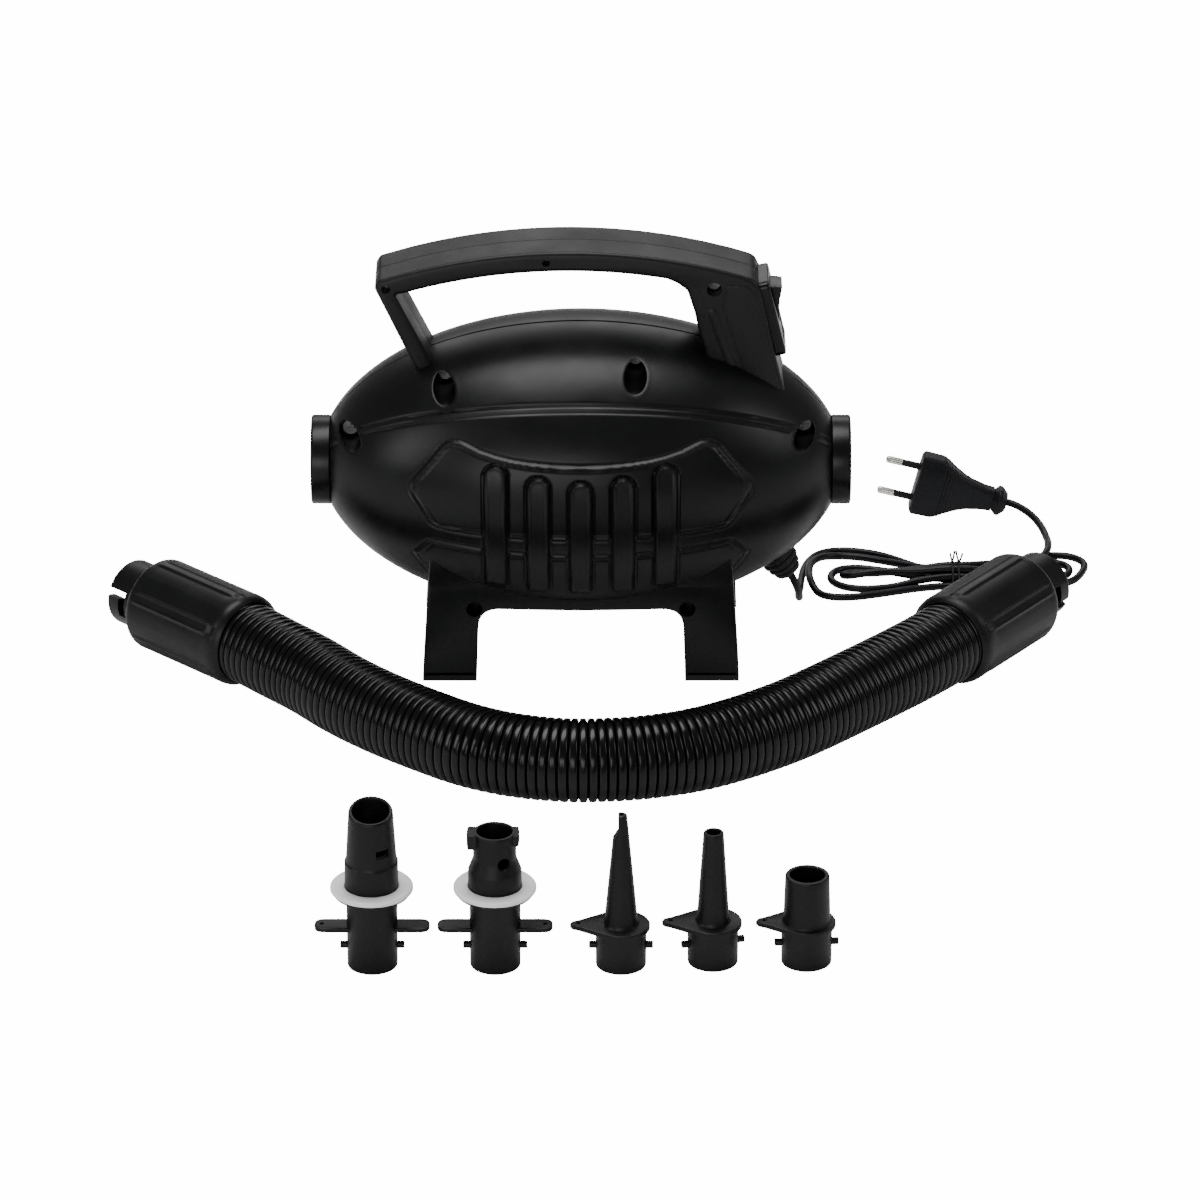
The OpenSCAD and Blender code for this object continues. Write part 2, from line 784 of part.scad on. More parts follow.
module impeller_nut() {
  color([0.75, 0.75, 0.77]) on_axis() difference() {
    translate([0, 0, -63.2]) cylinder(r = 7.5, h = 6, $fn = 6);
    translate([0, 0, -65]) cylinder(r = shaft_r + fit_gap, h = 10);
  }
}

module fan_housing() {
  color([0.16, 0.16, 0.17]) on_axis() {
    ring(fan_can_r, fan_can_r - 2, fan_can_x[0], fan_can_x[1]);
    ring(fan_can_r - 1, 18, fan_can_x[0], fan_can_x[0] + 2);
  }
}

module fan_mount_ring() {
  color([0.05, 0.05, 0.05]) difference() {
    on_axis() ring(mount_ring_r, fan_can_r + fit_gap, -56, -48);
    for (p = leg_screw_places) front_hole(p[0], p[1], p[2] + 2.4, -egg_b, egg_b);
  }
}

module rear_mount_ring() {
  color([0.05, 0.05, 0.05]) on_axis() ring(rear_seat_r - 0.1, rear_boss_r + fit_gap, 52.5, 59.5);
}

// ================= wiring inside the body =================

// Holes through the clamp for the cord and for its two screws
module clamp_holes() {
  translate([clamp_x - 6, 0, clamp_z]) rotate([0, 90, 0]) cylinder(r = 2.1, h = 12);
  for (y = [-8, 8]) translate([clamp_x, y, clamp_z - 10]) cylinder(r = 1.6, h = 20);
}

module cord_clamp() {
  color([0.12, 0.12, 0.12]) difference() {
    union() {
      intersection() {
        egg_solid(-wall - 0.1, end_x);
        translate([clamp_x - 5, -11, 30]) cube([10, 22, clamp_z - 0.2 - 30]);
      }
      translate([clamp_x - 4, -11, clamp_z + 0.2]) cube([8, 22, 3.6]);
    }
    clamp_holes();
  }
}

module clamp_screws() {
  color([0.6, 0.6, 0.62]) for (y = [-8, 8]) translate([clamp_x, y, clamp_z]) {
    translate([0, 0, -9.5]) cylinder(r = 1.5, h = 13.3);
    translate([0, 0, 3.8]) cylinder(r = 2.7, h = 1.8);
  }
}

module wiring() {
  live = [[80, 1.3, 57.2], [76.5, 3.5, 58.5], [72, 9, 64], [74, 12, 80], [79, 11, 105], [82.5, 7, 130],
    [83, 4.5, 150], [80.5, 3, 160], [76, 2, 166.5], [72.2, 1, 169.6]];
  neutral = [[80, -1.3, 57.2], [75, -4, 59], [68, -10, 63], [61, -22, 69], [54, -32, 79], [46.6, -31, 91]];
  back_run = [[69.2, -1, 183], [71.8, -3, 175.5], [76.5, -4.6, 167], [80, -5.5, 157], [79, -7, 146],
    [74, -13, 130], [62, -24, 120], [52, -29.5, 113], [46.6, -31, 107]];
  inner_cord = [[97.5, 0, 52.8], [96.2, 0, 54.9], [94, 0, 56.6], [91, 0, 57.2], [81, 0, 57.2]];
  color([0.55, 0.1, 0.08]) swept_tube(smooth_route(live, 2), 1.1, 6);
  color([0.1, 0.2, 0.6]) swept_tube(smooth_route(neutral, 2), 1.1, 6);
  color([0.55, 0.1, 0.08]) swept_tube(smooth_route(back_run, 2), 1.1, 6);
  color([0.08, 0.08, 0.08]) swept_tube(inner_cord, 1.95, 8);
}

// ================= mains cord and plug =================

// The gland's own frame: its Z points out of the shell
module gland_place() {
  translate([gland_x, 0, gland_z]) rotate([0, gland_turn, 0]) children();
}

module cord_gland() {
  bore = cord_d / 2 + 0.15;
  color([0.04, 0.04, 0.05]) gland_place() rotate_extrude($fn = 48) polygon([
    [bore, -6.4], [9, -6.4], [9, -4.2], [6.5, -4.2], [6.5, 0.8], [9.6, 0.8], [9.6, 3.4],
    [7.6, 3.4], [7.6, 4.8], [8.9, 4.8], [8.6, 7], [6.8, 7], [6.8, 8.4], [7.9, 8.4],
    [7.5, 10.6], [6, 10.6], [6, 12], [6.6, 12], [6, 14.6], [bore, 14.6]
  ]);
}

module cord_from_pump() {
  color([0.05, 0.05, 0.07]) swept_tube(smooth_route(cord_route_pump, 2), cord_d / 2, 8);
}

module cord_to_plug() {
  color([0.05, 0.05, 0.07]) swept_tube(smooth_route(cord_route_plug, 2), cord_d / 2, 8);
}

module hank_disc(p) {
  translate([p[0], p[1]]) circle(r = p[2], $fn = 32);
}

// Folded hank of cord: two round lobes and a narrow waist
module cord_hank() {
  color([0.05, 0.05, 0.07]) translate([0, 0, 0.4]) linear_extrude(hank_t) {
    hull() {
      hank_disc(hank_left);
      hank_disc(hank_left_low);
      hank_disc(hank_tie);
    }
    hull() {
      hank_disc(hank_tie);
      hank_disc(hank_right);
    }
  }
}

module cord_tie() {
  top = hank_t + 0.4;
  half = hank_tie[2] + 3.2;
  color([0.02, 0.02, 0.02]) for (x = [-1.8, 1.8]) translate([hank_tie[0] + x, hank_tie[1], 0]) {
    difference() {
      translate([-0.7, -half, 0]) cube([1.4, 2 * half, top + 1.4]);
      translate([-2, -half + 1, -1]) cube([4, 2 * half - 2, top + 1.3]);
    }
    translate([-0.7, 2, top + 1.4]) cube([1.4, 1.2, 8]);
  }
}

// The plug's own frame: X runs from its front face back along the cord
module plug_place() {
  translate(plug_face) rotate([0, plug_pitch, 0]) children();
}

// Outline of the plug seen on its broad side
function plug_outline() = [
  [0, 16], [1.5, 17.5], [12, 17.3], [15.5, 15.6], [22, 11.5], [30, 8.2], [38, 6.4], [43, 6],
  [43, -6], [38, -6.4], [30, -8.2], [22, -11.5], [15.5, -15.6], [12, -17.3], [1.5, -17.5], [0, -16]
];

module plug_body() {
  pin_hole = 6;
  color([0.05, 0.05, 0.07]) plug_place() difference() {
    union() {
      intersection() {
        translate([0, plug_t / 2, 0]) rotate([90, 0, 0]) linear_extrude(plug_t) polygon(plug_outline());
        translate([0, 0, -20]) linear_extrude(40) polygon([
          [0, plug_t / 2], [14, plug_t / 2], [30, 4.6], [43, 4.2],
          [43, -4.2], [30, -4.6], [14, -plug_t / 2], [0, -plug_t / 2]
        ]);
      }
      translate([42, 0, 0]) rotate([0, 90, 0]) rotate_extrude() polygon([
        [0, 0], [4, 0], [8.6, 3.4], [8.6, 5.4], [5, 8.6], [0, 8.6]
      ]);
    }
    for (z = [-pin_pitch / 2, pin_pitch / 2])
      translate([-1, 0, z]) rotate([0, 90, 0]) cylinder(r = 1.9, h = pin_hole + 1);
  }
}

module plug_sleeves() {
  color([0.08, 0.08, 0.09]) plug_place() for (z = [-pin_pitch / 2, pin_pitch / 2])
    translate([-10, 0, z]) rotate([0, 90, 0]) difference() {
      cylinder(r = 1.88, h = 15.8);
      translate([0, 0, -1]) cylinder(r = 1.5, h = 20);
    }
}

module plug_pins() {
  color([0.8, 0.8, 0.78]) plug_place() for (z = [-pin_pitch / 2, pin_pitch / 2])
    translate([-pin_len, 0, z]) rotate([0, 90, 0]) {
      translate([0, 0, 1.4]) cylinder(r = 2, h = 7.5);
      sphere_cap();
      translate([0, 0, 8]) cylinder(r = 1.47, h = 16.5);
    }
}

// Rounded tip of a plug pin
module sphere_cap() {
  rotate_extrude($fn = 32) polygon(concat([[0, 0]], [[1.2, 0.15], [1.75, 0.7], [2, 1.45], [0, 1.45]]));
}

// ================= hose =================

// A hose cuff along Z: its outer face is at 0 and the hose leaves at cuff_len
module cuff() {
  r = cuff_d / 2;
  bayonet_r = bayonet_d / 2;
  bore_r = nozzle_r + 0.2;
  slot = 4.6;
  difference() {
    union() {
      rotate_extrude($fn = 96) polygon([
        [0, 0], [r - 4, 0], [r - 1, 4], [r - 1, cuff_len - 5], [r - 3.4, cuff_len], [0, cuff_len]
      ]);
      for (a = [0 : 60 : 300]) rotate([0, 0, a]) translate([r - 4, -4, 6]) cube([4, 8, cuff_len - 16]);
      translate([0, 0, -bayonet_len]) cylinder(r = bayonet_r, h = bayonet_len + 1);
    }
    translate([0, 0, -bayonet_len - 1]) cylinder(r = bore_r, h = bayonet_len + 31);
    translate([0, 0, cuff_len - hose_tuck]) cylinder(r = hose_d / 2 + 0.2, h = far);
    for (a = [70, 250]) rotate([0, 0, a]) {
      translate([0, -slot / 2, -bayonet_len - 1]) cube([far / 2, slot, 13.5]);
      intersection() {
        ring(bayonet_r + 1, bore_r - 1, -bayonet_len + 8, -bayonet_len + 8 + slot);
        translate([0, -slot / 2, -far / 2]) cube([far / 2, 12.5, far]);
      }
    }
  }
}

// Puts a cuff's outer face at a place, its hose end turned away from the heading
module cuff_place(at, heading) {
  translate(at) rotate([0, 0, heading]) rotate([0, -90, 0]) children();
}

module hose_cuff_left() {
  color([0.07, 0.07, 0.08]) cuff_place(left_cuff, left_heading) cuff();
}

module hose_cuff_right() {
  color([0.07, 0.07, 0.08]) cuff_place(right_cuff, right_heading) cuff();
}

module hose_tube() {
  color([0.06, 0.06, 0.07]) swept_tube(smooth_route(hose_route, 2), hose_d / 2, 24);
}

// ================= nozzles =================

module nozzle_place(i) {
  translate([nozzle_places[i][0], nozzle_places[i][1], 0]) children();
}

// Solid of the base tube with its two bayonet pegs, up to a height
module nozzle_base(h, turn) {
  rotate_extrude($fn = 64) polygon([
    [0, 0], [nozzle_r - 0.8, 0], [nozzle_r, 0.8], [nozzle_r, h], [0, h]
  ]);
  rotate([0, 0, turn]) translate([-peg_span / 2, 0, peg_z]) rotate([0, 90, 0])
    cylinder(r = 1.8, h = peg_span, $fn = 32);
}

module nozzle_bore(z0, z1, r0, r1) {
  translate([0, 0, z0]) cylinder(r1 = r0, r2 = r1, h = z1 - z0);
}

// Two flat wings to twist the nozzle by, with a small hole near one tip
module wings(hole_side) {
  tip = 27.8;
  difference() {
    translate([-tip + 5, -5.5, wing_z]) cube([2 * tip - 10, 11, 2.2]);
    translate([hole_side * 24.5, 0, wing_z - 1]) cylinder(r = 1.1, h = 5, $fn = 24);
  }
  for (s = [-1, 1]) difference() {
    translate([s * (tip - 5.5), 0, wing_z]) cylinder(r = 5.5, h = 2.2);
    translate([hole_side * 24.5, 0, wing_z - 1]) cylinder(r = 1.1, h = 5, $fn = 24);
  }
}

// Round plate with a pointed tab and a small hole for a tether
module tether_plate() {
  tab = 21.4;
  difference() {
    union() {
      translate([0, 0, wing_z]) cylinder(r = 14, h = 2.6);
      translate([-tab, 0, wing_z]) cylinder(r = 3.6, h = 2.6);
      translate([0, 0, wing_z]) linear_extrude(2.6)
        polygon([[-tab - 1, 3.4], [-4, 13.4], [-4, -13.4], [-tab - 1, -3.4]]);
    }
    translate([-20.6, 0, wing_z - 1]) cylinder(r = 1.1, h = 5, $fn = 24);
  }
}

module boston_nozzle() {
  top = 86;
  color([0.06, 0.06, 0.06]) nozzle_place(0) difference() {
    union() {
      nozzle_base(40, 0);
      wings(-1);
      translate([0, 0, 39]) cylinder(r = 18.6, h = 1.4);
      rotate_extrude() polygon([[0, 40], [12.9, 40], [12.9, 55.5], [12.3, 56], [10.3, top], [0, top]]);
    }
    nozzle_bore(-1, 45, nozzle_r - nozzle_wall, nozzle_r - nozzle_wall);
    nozzle_bore(44, top + 1, 10.4, 8.6);
    translate([0, -10.3, top - 5.5]) rotate([14, 0, 0]) translate([-20, -20, 0]) cube([40, 60, 20]);
    rotate([0, 0, 30]) translate([-3.5, -20, 62]) cube([7, 14, 4.4]);
  }
}

module gasket_ring() {
  color([0.9, 0.9, 0.88]) rotate_extrude() polygon([
    [13.1, 40.5], [19.4, 40.5], [20, 41.2], [20, 42.4], [19.4, 43.1], [13.1, 43.1]
  ]);
}

module boston_gasket() {
  nozzle_place(0) gasket_ring();
}

module lug_gasket() {
  nozzle_place(1) gasket_ring();
}

module lug_nozzle() {
  top = 72;
  color([0.06, 0.06, 0.06]) nozzle_place(1) difference() {
    union() {
      nozzle_base(40, 0);
      wings(1);
      translate([0, 0, 39]) cylinder(r = 18.6, h = 1.4);
      rotate_extrude() polygon([[0, 40], [12.9, 40], [12.9, 52], [10.4, 58], [10.4, top], [0, top]]);
      for (s = [-1, 1]) intersection() {
        ring(13.6, 9, top - 8, top);
        translate([s > 0 ? 0 : -20, -6, 0]) cube([20, 12, far]);
      }
    }
    nozzle_bore(-1, 45, nozzle_r - nozzle_wall, nozzle_r - nozzle_wall);
    nozzle_bore(44, top + 1, 10.4, 8.4);
    rotate([0, 0, 26]) translate([0, -6, 58.5]) rotate([90, 0, 0]) cylinder(r = 3.4, h = 10, $fn = 32);
  }
}

module pinch_nozzle() {
  top = 81;
  color([0.06, 0.06, 0.06]) nozzle_place(2) difference() {
    union() {
      nozzle_base(wing_z + 2.6, 0);
      tether_plate();
      rotate_extrude() polygon([[0, 22], [8.6, 22], [8.1, 24], [2.9, top], [0, top]]);
    }
    nozzle_bore(-1, wing_z, nozzle_r - nozzle_wall, nozzle_r - nozzle_wall);
    nozzle_bore(wing_z - 1, top + 1, 6.3, 1.5);
    translate([-20, -20, 72]) cube([18.6, 40, 20]);
    translate([-1.4, -20, top]) rotate([0, -60, 0]) translate([-20, 0, 0]) cube([20, 40, 20]);
    translate([-4.6, -20, 66]) rotate([0, -58, 0]) translate([0, 0, 0]) cube([12, 40, 12]);
  }
}

module taper_nozzle() {
  top = 70;
  color([0.06, 0.06, 0.06]) nozzle_place(3) difference() {
    union() {
      nozzle_base(wing_z + 2.6, 12);
      tether_plate();
      rotate_extrude() polygon([[0, 22], [8.3, 22], [7.8, 24], [4.9, top - 0.6], [4.3, top], [0, top]]);
    }
    nozzle_bore(-1, wing_z, nozzle_r - nozzle_wall, nozzle_r - nozzle_wall);
    nozzle_bore(wing_z - 1, top + 1, 6.2, 3.4);
  }
}

module wide_nozzle() {
  top = 47;
  color([0.06, 0.06, 0.06]) nozzle_place(4) difference() {
    union() {
      nozzle_base(wing_z + 2.6, 3);
      tether_plate();
      rotate_extrude() polygon([[0, 22], [11.6, 22], [10.7, top - 0.7], [10, top], [0, top]]);
    }
    nozzle_bore(-1, wing_z, nozzle_r - nozzle_wall, nozzle_r - nozzle_wall);
    nozzle_bore(wing_z - 1, top + 1, 9.2, 8.4);
  }
}

front_shell();
back_shell();
foot_pads();
shell_screws();
handle_front();
handle_back();
handle_screws();
inlet_collar();
outlet_collar();
inlet_grille();
outlet_grille();
switch_bezel();
switch_rocker();
switch_body();
switch_terminals();
stator_core();
field_coils();
fan_end_bracket();
rear_bracket();
motor_bolts();
motor_shaft();
armature_core();
armature_winding();
commutator();
motor_bearings();
brush_holders();
carbon_brushes();
impeller();
impeller_nut();
fan_housing();
fan_mount_ring();
rear_mount_ring();
cord_clamp();
clamp_screws();
wiring();
cord_gland();
cord_from_pump();
cord_hank();
cord_to_plug();
cord_tie();
plug_body();
plug_sleeves();
plug_pins();
hose_tube();
hose_cuff_left();
hose_cuff_right();
boston_nozzle();
boston_gasket();
lug_nozzle();
lug_gasket();
pinch_nozzle();
taper_nozzle();
wide_nozzle();
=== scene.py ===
"""Builds an egg-shaped air mattress pump, with its cord, hose and nozzles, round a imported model."""
import json
import math

import bmesh
import bpy
import numpy as np
from mathutils.geometry import tessellate_polygon
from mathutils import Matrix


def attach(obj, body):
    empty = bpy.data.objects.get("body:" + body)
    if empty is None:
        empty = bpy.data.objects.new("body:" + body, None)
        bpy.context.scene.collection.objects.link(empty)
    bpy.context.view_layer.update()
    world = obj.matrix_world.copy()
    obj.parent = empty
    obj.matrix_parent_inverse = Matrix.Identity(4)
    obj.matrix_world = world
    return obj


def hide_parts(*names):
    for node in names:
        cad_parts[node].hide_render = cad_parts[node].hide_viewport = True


bl_info = {
    "name": "Air Pump Set Builder",
    "version": (1, 0, 0),
    "blender": (4, 5, 0),
    "location": "View3D > Sidebar > Air Pump",
    "description": "Builds an egg-shaped air pump with its cord, hose and nozzles round a packed model",
    "category": "Add Mesh",
}

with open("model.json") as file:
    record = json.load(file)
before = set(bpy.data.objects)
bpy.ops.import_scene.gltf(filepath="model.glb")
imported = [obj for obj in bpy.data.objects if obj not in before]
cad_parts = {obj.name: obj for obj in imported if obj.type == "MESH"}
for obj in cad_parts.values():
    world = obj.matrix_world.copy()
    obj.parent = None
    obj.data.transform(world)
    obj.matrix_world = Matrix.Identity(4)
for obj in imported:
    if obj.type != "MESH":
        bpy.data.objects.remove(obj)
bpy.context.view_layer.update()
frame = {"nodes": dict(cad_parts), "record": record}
MM = 0.001

MERGE_DISTANCE = 2e-6

# ---- the body, in millimetres: the egg's half length and height, and where its ends stop ----
EGG_A = 136.0
EGG_B = 78.5
END_X = 130.0
AXIS_Z = 100.0
NECK_R = 21.05
WALL = 3.0
SEAM_GAP = 0.04
# The inner skin takes every sixth row and column of the outer one
INNER_STRIDE = 6
# How far past a recess's radius the inner skin is left out, and the outer skin runs under the lip
INNER_CLEAR = 4.8
LIP_OVERLAP = 1.3
LEG_Y = 58.0
LEG_BACK_Y = 30.0
# Screw recesses: x, z and radius
RECESSES = ((-119.0, 125.0, 5.75), (-70.0, 156.0, 5.75), (28.0, 164.5, 5.75), (115.0, 127.0, 5.75))
LEG_RECESSES = ((-55.0, 41.0, 4.2), (55.0, 41.0, 4.2))
SCREW_SEAT_Y = 12.0
RIDGE_ANGLE = math.radians(43.5)
# Ribs: x of the middle, and the angle up to which each one reaches
RIBS = ((0.0, 15.5), (21.8, 17.3), (-21.8, 17.3), (43.6, 21.9), (-43.6, 21.9))
RIB_HALF = 5.75
RIB_LOW = -35.6

# ---- the handle: its arches' centre, its half width, and its screw holes as x, z and radius ----
ARCH_X = -6.0
ARCH_Z = -83.0
HALF_W = 18.5
HANDLE_SCREWS = ((-99.8, 203.8, 2.3), (-17.7, 218.4, 2.0), (68.4, 203.6, 3.9))
HANDLE_SEAT_Y = 8.0

# ---- the switch: its face's tilt and middle, and the rocker's pivot and rest tilt ----
FACE_TILT = math.radians(13.5)
SWITCH_AT = np.array([101.175, 0.0, 185.584])
PIVOT_DEPTH = 2.0
ROCKER_TILT = math.radians(12.0)

# ---- the cord, hose and nozzles ----
GLAND_AT = np.array([101.0, 0.0, 47.4])
GLAND_TURN = math.radians(147.3)
PLUG_AT = np.array([180.8, 146.3, 19.82])
PLUG_PITCH = math.radians(14.0)
HOSE_ROUTE = (
    (-183.2, -53.5, 25.5), (-171.7, -64.7, 25.3), (-155, -82, 24.5), (-138, -99, 23.5),
    (-121, -119, 22.5), (-102, -138, 21.8), (-80, -157, 21.5), (-56, -175, 21.4),
    (-33, -186, 21.4), (-8, -191.5, 21.4), (16, -191, 21.4), (38, -187, 21.4),
    (60, -179, 21.4), (82, -166, 21.5), (104, -149.5, 21.8), (120, -135, 22.2),
    (136, -119.5, 22.8), (154, -102, 23.6), (172, -84, 24.6), (189.3, -64.3, 25.3),
    (198.8, -51.4, 25.5),
)
# Cuffs: the middle of the outer face, and the heading in degrees
CUFFS = {
    "hose_cuff_left": ((-222.0, -16.0, 25.5), 136.0),
    "hose_cuff_right": ((231.0, -8.0, 25.5), 53.5),
}
CORD_START = (
    (105.6, 0, 40.2), (107.3, 0, 37.6), (109, 0, 35), (111, 0.5, 31), (113, 4, 25),
    (114.5, 11, 17.5), (115, 20, 11), (115, 30, 6.5), (115.2, 40, 3.5), (116.2, 50, 2.3),
)
CORD_END = (
    (246, 79, 6.6), (249, 86, 6.9), (250.2, 94, 6.2), (250.6, 103, 4.2), (250, 112, 3.2),
    (248.2, 121.5, 4), (245, 130.5, 5), (240.4, 138.2, 6.1), (235.2, 143.6, 7), (231, 146, 7.5),
    (227.4, 146.3, 8.25),
)
# The hank's turns, each through the tie at x = 199 on its way right and again on its way back left
HANK = (
    # outer loop, first way right
    (117.2, 62, 2.2), (119.5, 76, 2.2), (125, 89, 2.2), (134, 95, 2.2), (147, 95, 2.2),
    (162, 89, 2.2), (180, 75, 2.2), (193, 67.5, 2.2), (205, 66.5, 2.2), (220, 73, 2.2),
    (235, 84, 2.2), (250, 89.5, 2.2), (262, 88, 2.2), (268.5, 80, 2.2), (267, 69, 2.2),
    (261, 58, 2.2), (250, 52.5, 2.2), (236, 51.2, 2.2), (220, 51.2, 2.2), (205, 51.8, 2.2),
    (193, 51.6, 2.2), (178, 48.6, 2.2), (160, 42.6, 2.2), (146, 38.6, 2.2), (134, 38.2, 2.2),
    (126, 42.5, 2.6), (122, 50, 5.6),
    # second way right, one layer up where it crosses
    (121.2, 60, 6.4), (122.6, 72, 6.0), (128, 83.5, 4.0), (137, 88.6, 2.4), (149, 87.4, 2.2),
    (164, 80.8, 2.6), (181, 69.8, 4.6), (193, 64.6, 6.0), (205, 63.8, 6.0), (219, 68.5, 4.4),
    (233, 76.5, 2.6), (246, 81.2, 2.2), (256, 79.5, 2.2), (260.4, 72.5, 2.2), (257.5, 64, 2.2),
    (249, 58.6, 2.2), (236, 56.2, 2.4), (220, 55.4, 4.2), (205, 55.2, 6.0), (193, 55.0, 6.0),
    (180, 53.2, 4.8), (166, 50.2, 2.6), (152, 48.2, 2.2), (141, 50.2, 2.2),
    # third way right, the narrow inner loop
    (134.2, 56.5, 2.2), (133, 64.4, 2.2), (137, 71.4, 2.2), (147, 74, 2.2), (161, 70.6, 2.2),
    (177, 64.4, 2.2), (190, 61.0, 2.2), (205, 60.4, 2.2), (219, 63.6, 2.2), (231, 68.4, 2.2),
    (242, 72.4, 2.2), (250.2, 71.4, 2.2), (252, 66.6, 2.4), (245.5, 62.4, 3.6), (233, 59.8, 5.4),
    (219, 58.6, 7.8), (205, 57.6, 9.4), (193, 57.8, 9.4), (180, 59.4, 7.4), (166, 61.2, 6.4),
    (153, 60.2, 5.9), (143, 60.6, 4.2), (139.4, 64.6, 2.6), (144.5, 67.8, 2.2),
    # last way right, on top, and out over the outer loop
    (154, 67.2, 2.4), (168, 64.6, 4.6), (181, 62.4, 7.4), (193, 61.6, 9.6), (205, 61.6, 9.8),
    (218, 64.6, 9.2), (230, 69.6, 7.8), (239, 74.2, 6.8),
)
TIE_X = 199.0
NOZZLES = ((-99.8, -367.0), (-40.6, -367.0), (20.0, -367.0), (64.3, -364.0), (109.5, -364.0))
# Base tubes end at these heights: the tall ones under a flange, the short ones in a tether plate
TALL_BASE = 40.0
SHORT_BASE = 22.0
NOZZLE_R = 12.3
NOZZLE_BORE = 10.3
WING_Z = 19.6
PEG_Z = 10.6

# ---- the stage, in metres: each light's name, place, aim, size and power ----
FLOOR_HALF = 20.0
WORLD_FILL = 0.24
LIGHTS = (
    ("top light", (-0.1, 0.15, 1.7), (0.0, -0.02, 0.15), (1.1, 0.8), 24.0),
    ("back light", (0.0, 2.3, 1.35), (0.0, 0.0, 0.2), (2.2, 0.9), 13.0),
    ("front light", (-0.5, -2.2, 0.7), (0.0, 0.0, 0.1), (1.4, 0.8), 16.0),
    ("left light", (-1.6, -0.9, 0.9), (0.0, 0.0, 0.1), (0.5, 1.0), 9.0),
    ("right light", (1.5, -0.3, 1.0), (0.0, 0.0, 0.1), (0.4, 0.9), 6.0),
)


# ================= surfaces in numpy =================

def step(t):
    """Smooth step: 0 below 0, 1 above 1, and 3 t squared minus 2 t cubed between."""
    t = np.clip(t, 0.0, 1.0)
    return t * t * (3 - 2 * t)


def bump(t):
    """Bell: e to the power of minus t squared."""
    return np.exp(-t * t)


def grid(points, wrap_u=False):
    """Vertices and quads of a grid that goes round its second way, and its first too if wrap_u is
    true: each quad joins (i, j), (i+1, j), (i+1, j+1) and (i, j+1)."""
    nu, nv = points.shape[:2]
    index = np.arange(nu * nv).reshape(nu, nv)
    if wrap_u:
        index = np.vstack([index, index[:1]])
    index = np.hstack([index, index[:, :1]])
    quads = np.stack([index[:-1, :-1], index[1:, :-1], index[1:, 1:], index[:-1, 1:]], axis=-1)
    return points.reshape(-1, 3), [quads.reshape(-1, 4)]


def placed(part, origin, x_axis=(1, 0, 0), y_axis=(0, 1, 0), z_axis=(0, 0, 1)):
    """A part put into another frame: the origin plus each coordinate times its axis."""
    axes = np.array([x_axis, y_axis, z_axis], dtype=float)
    return part[0] @ axes + np.asarray(origin, dtype=float), part[1]


def mirrored_y(part):
    """A part's mirror image: its y changes sign."""
    return part[0] * np.array([1.0, -1.0, 1.0]), part[1]


def upright(part):
    """A plate drawn in x and z, stood up so that its thickness runs towards the front."""
    return placed(part, (0, 0, 0), (1, 0, 0), (0, 0, 1), (0, -1, 0))


def lathe(profile, sides):
    """Surface of revolution: a closed outline's point (r, z) goes to (r cos a, r sin a, z) for a
    round the circle."""
    r, z = np.asarray(profile, dtype=float).T
    a = np.linspace(0, 2 * np.pi, sides, endpoint=False)
    points = np.stack([r[:, None] * np.cos(a), r[:, None] * np.sin(a), z[:, None] + 0 * a], axis=-1)
    return grid(points, wrap_u=True)


def rounded(outline, radii, steps=5):
    """A closed outline with its corners rounded: a corner p becomes the curve that starts and ends
    at a distance d along its two sides and is drawn towards p, with the weights of a parabola."""
    pts = np.asarray(outline, dtype=float)
    radii = np.broadcast_to(radii, len(pts))
    t = np.linspace(0, 1, steps + 1)[:, None]
    out = []
    for i, p in enumerate(pts):
        to_a = pts[i - 1] - p
        to_b = pts[(i + 1) % len(pts)] - p
        long_a, long_b = np.linalg.norm(to_a), np.linalg.norm(to_b)
        half = 0.5 * math.acos(float(np.clip(to_a @ to_b / (long_a * long_b), -1, 1)))
        if radii[i] <= 0 or half > 1.53:
            out.append(p[None])
            continue
        d = min(radii[i] / math.tan(half), 0.46 * long_a, 0.46 * long_b)
        a, b = p + to_a * d / long_a, p + to_b * d / long_b
        out.append((1 - t) ** 2 * a + 2 * t * (1 - t) * p + t ** 2 * b)
    return np.vstack(out)


def circle(x, z, r, n=32):
    """Points of a circle of radius r round (x, z)."""
    a = np.linspace(0, 2 * np.pi, n, endpoint=False)
    return np.stack([x + r * np.cos(a), z + r * np.sin(a)], axis=1)


def inset(loop, d):
    """An outline drawn in by d: each point moves along the mean of its two sides' inward normals,
    by d over the cosine between that mean and either normal."""
    area = np.sum(loop[:, 0] * np.roll(loop[:, 1], -1) - np.roll(loop[:, 0], -1) * loop[:, 1])
    normals = []
    for side in (loop - np.roll(loop, 1, axis=0), np.roll(loop, -1, axis=0) - loop):
        long = np.maximum(np.linalg.norm(side, axis=1), 1e-9)[:, None]
        normals.append(np.sign(area) * np.stack([-side[:, 1], side[:, 0]], 1) / long)
    mean = normals[0] + normals[1]
    mean /= np.maximum(np.linalg.norm(mean, axis=1), 1e-6)[:, None]
    cosine = np.maximum(np.sum(mean * normals[0], axis=1), 0.5)[:, None]
    return loop + mean * d / cosine


def rim(face, edge, way, shares):
    """Heights and insets of a rim's quarter circle. At a share q of it the height is edge times (1
    - q) off the face, and the inset is edge times (1 - square root of (1 - q squared))."""
    if not edge:
        return [(face, 0.0)]
    return [(face + way * edge * (1 - q), edge * (1 - math.sqrt(1 - q * q))) for q in shares]


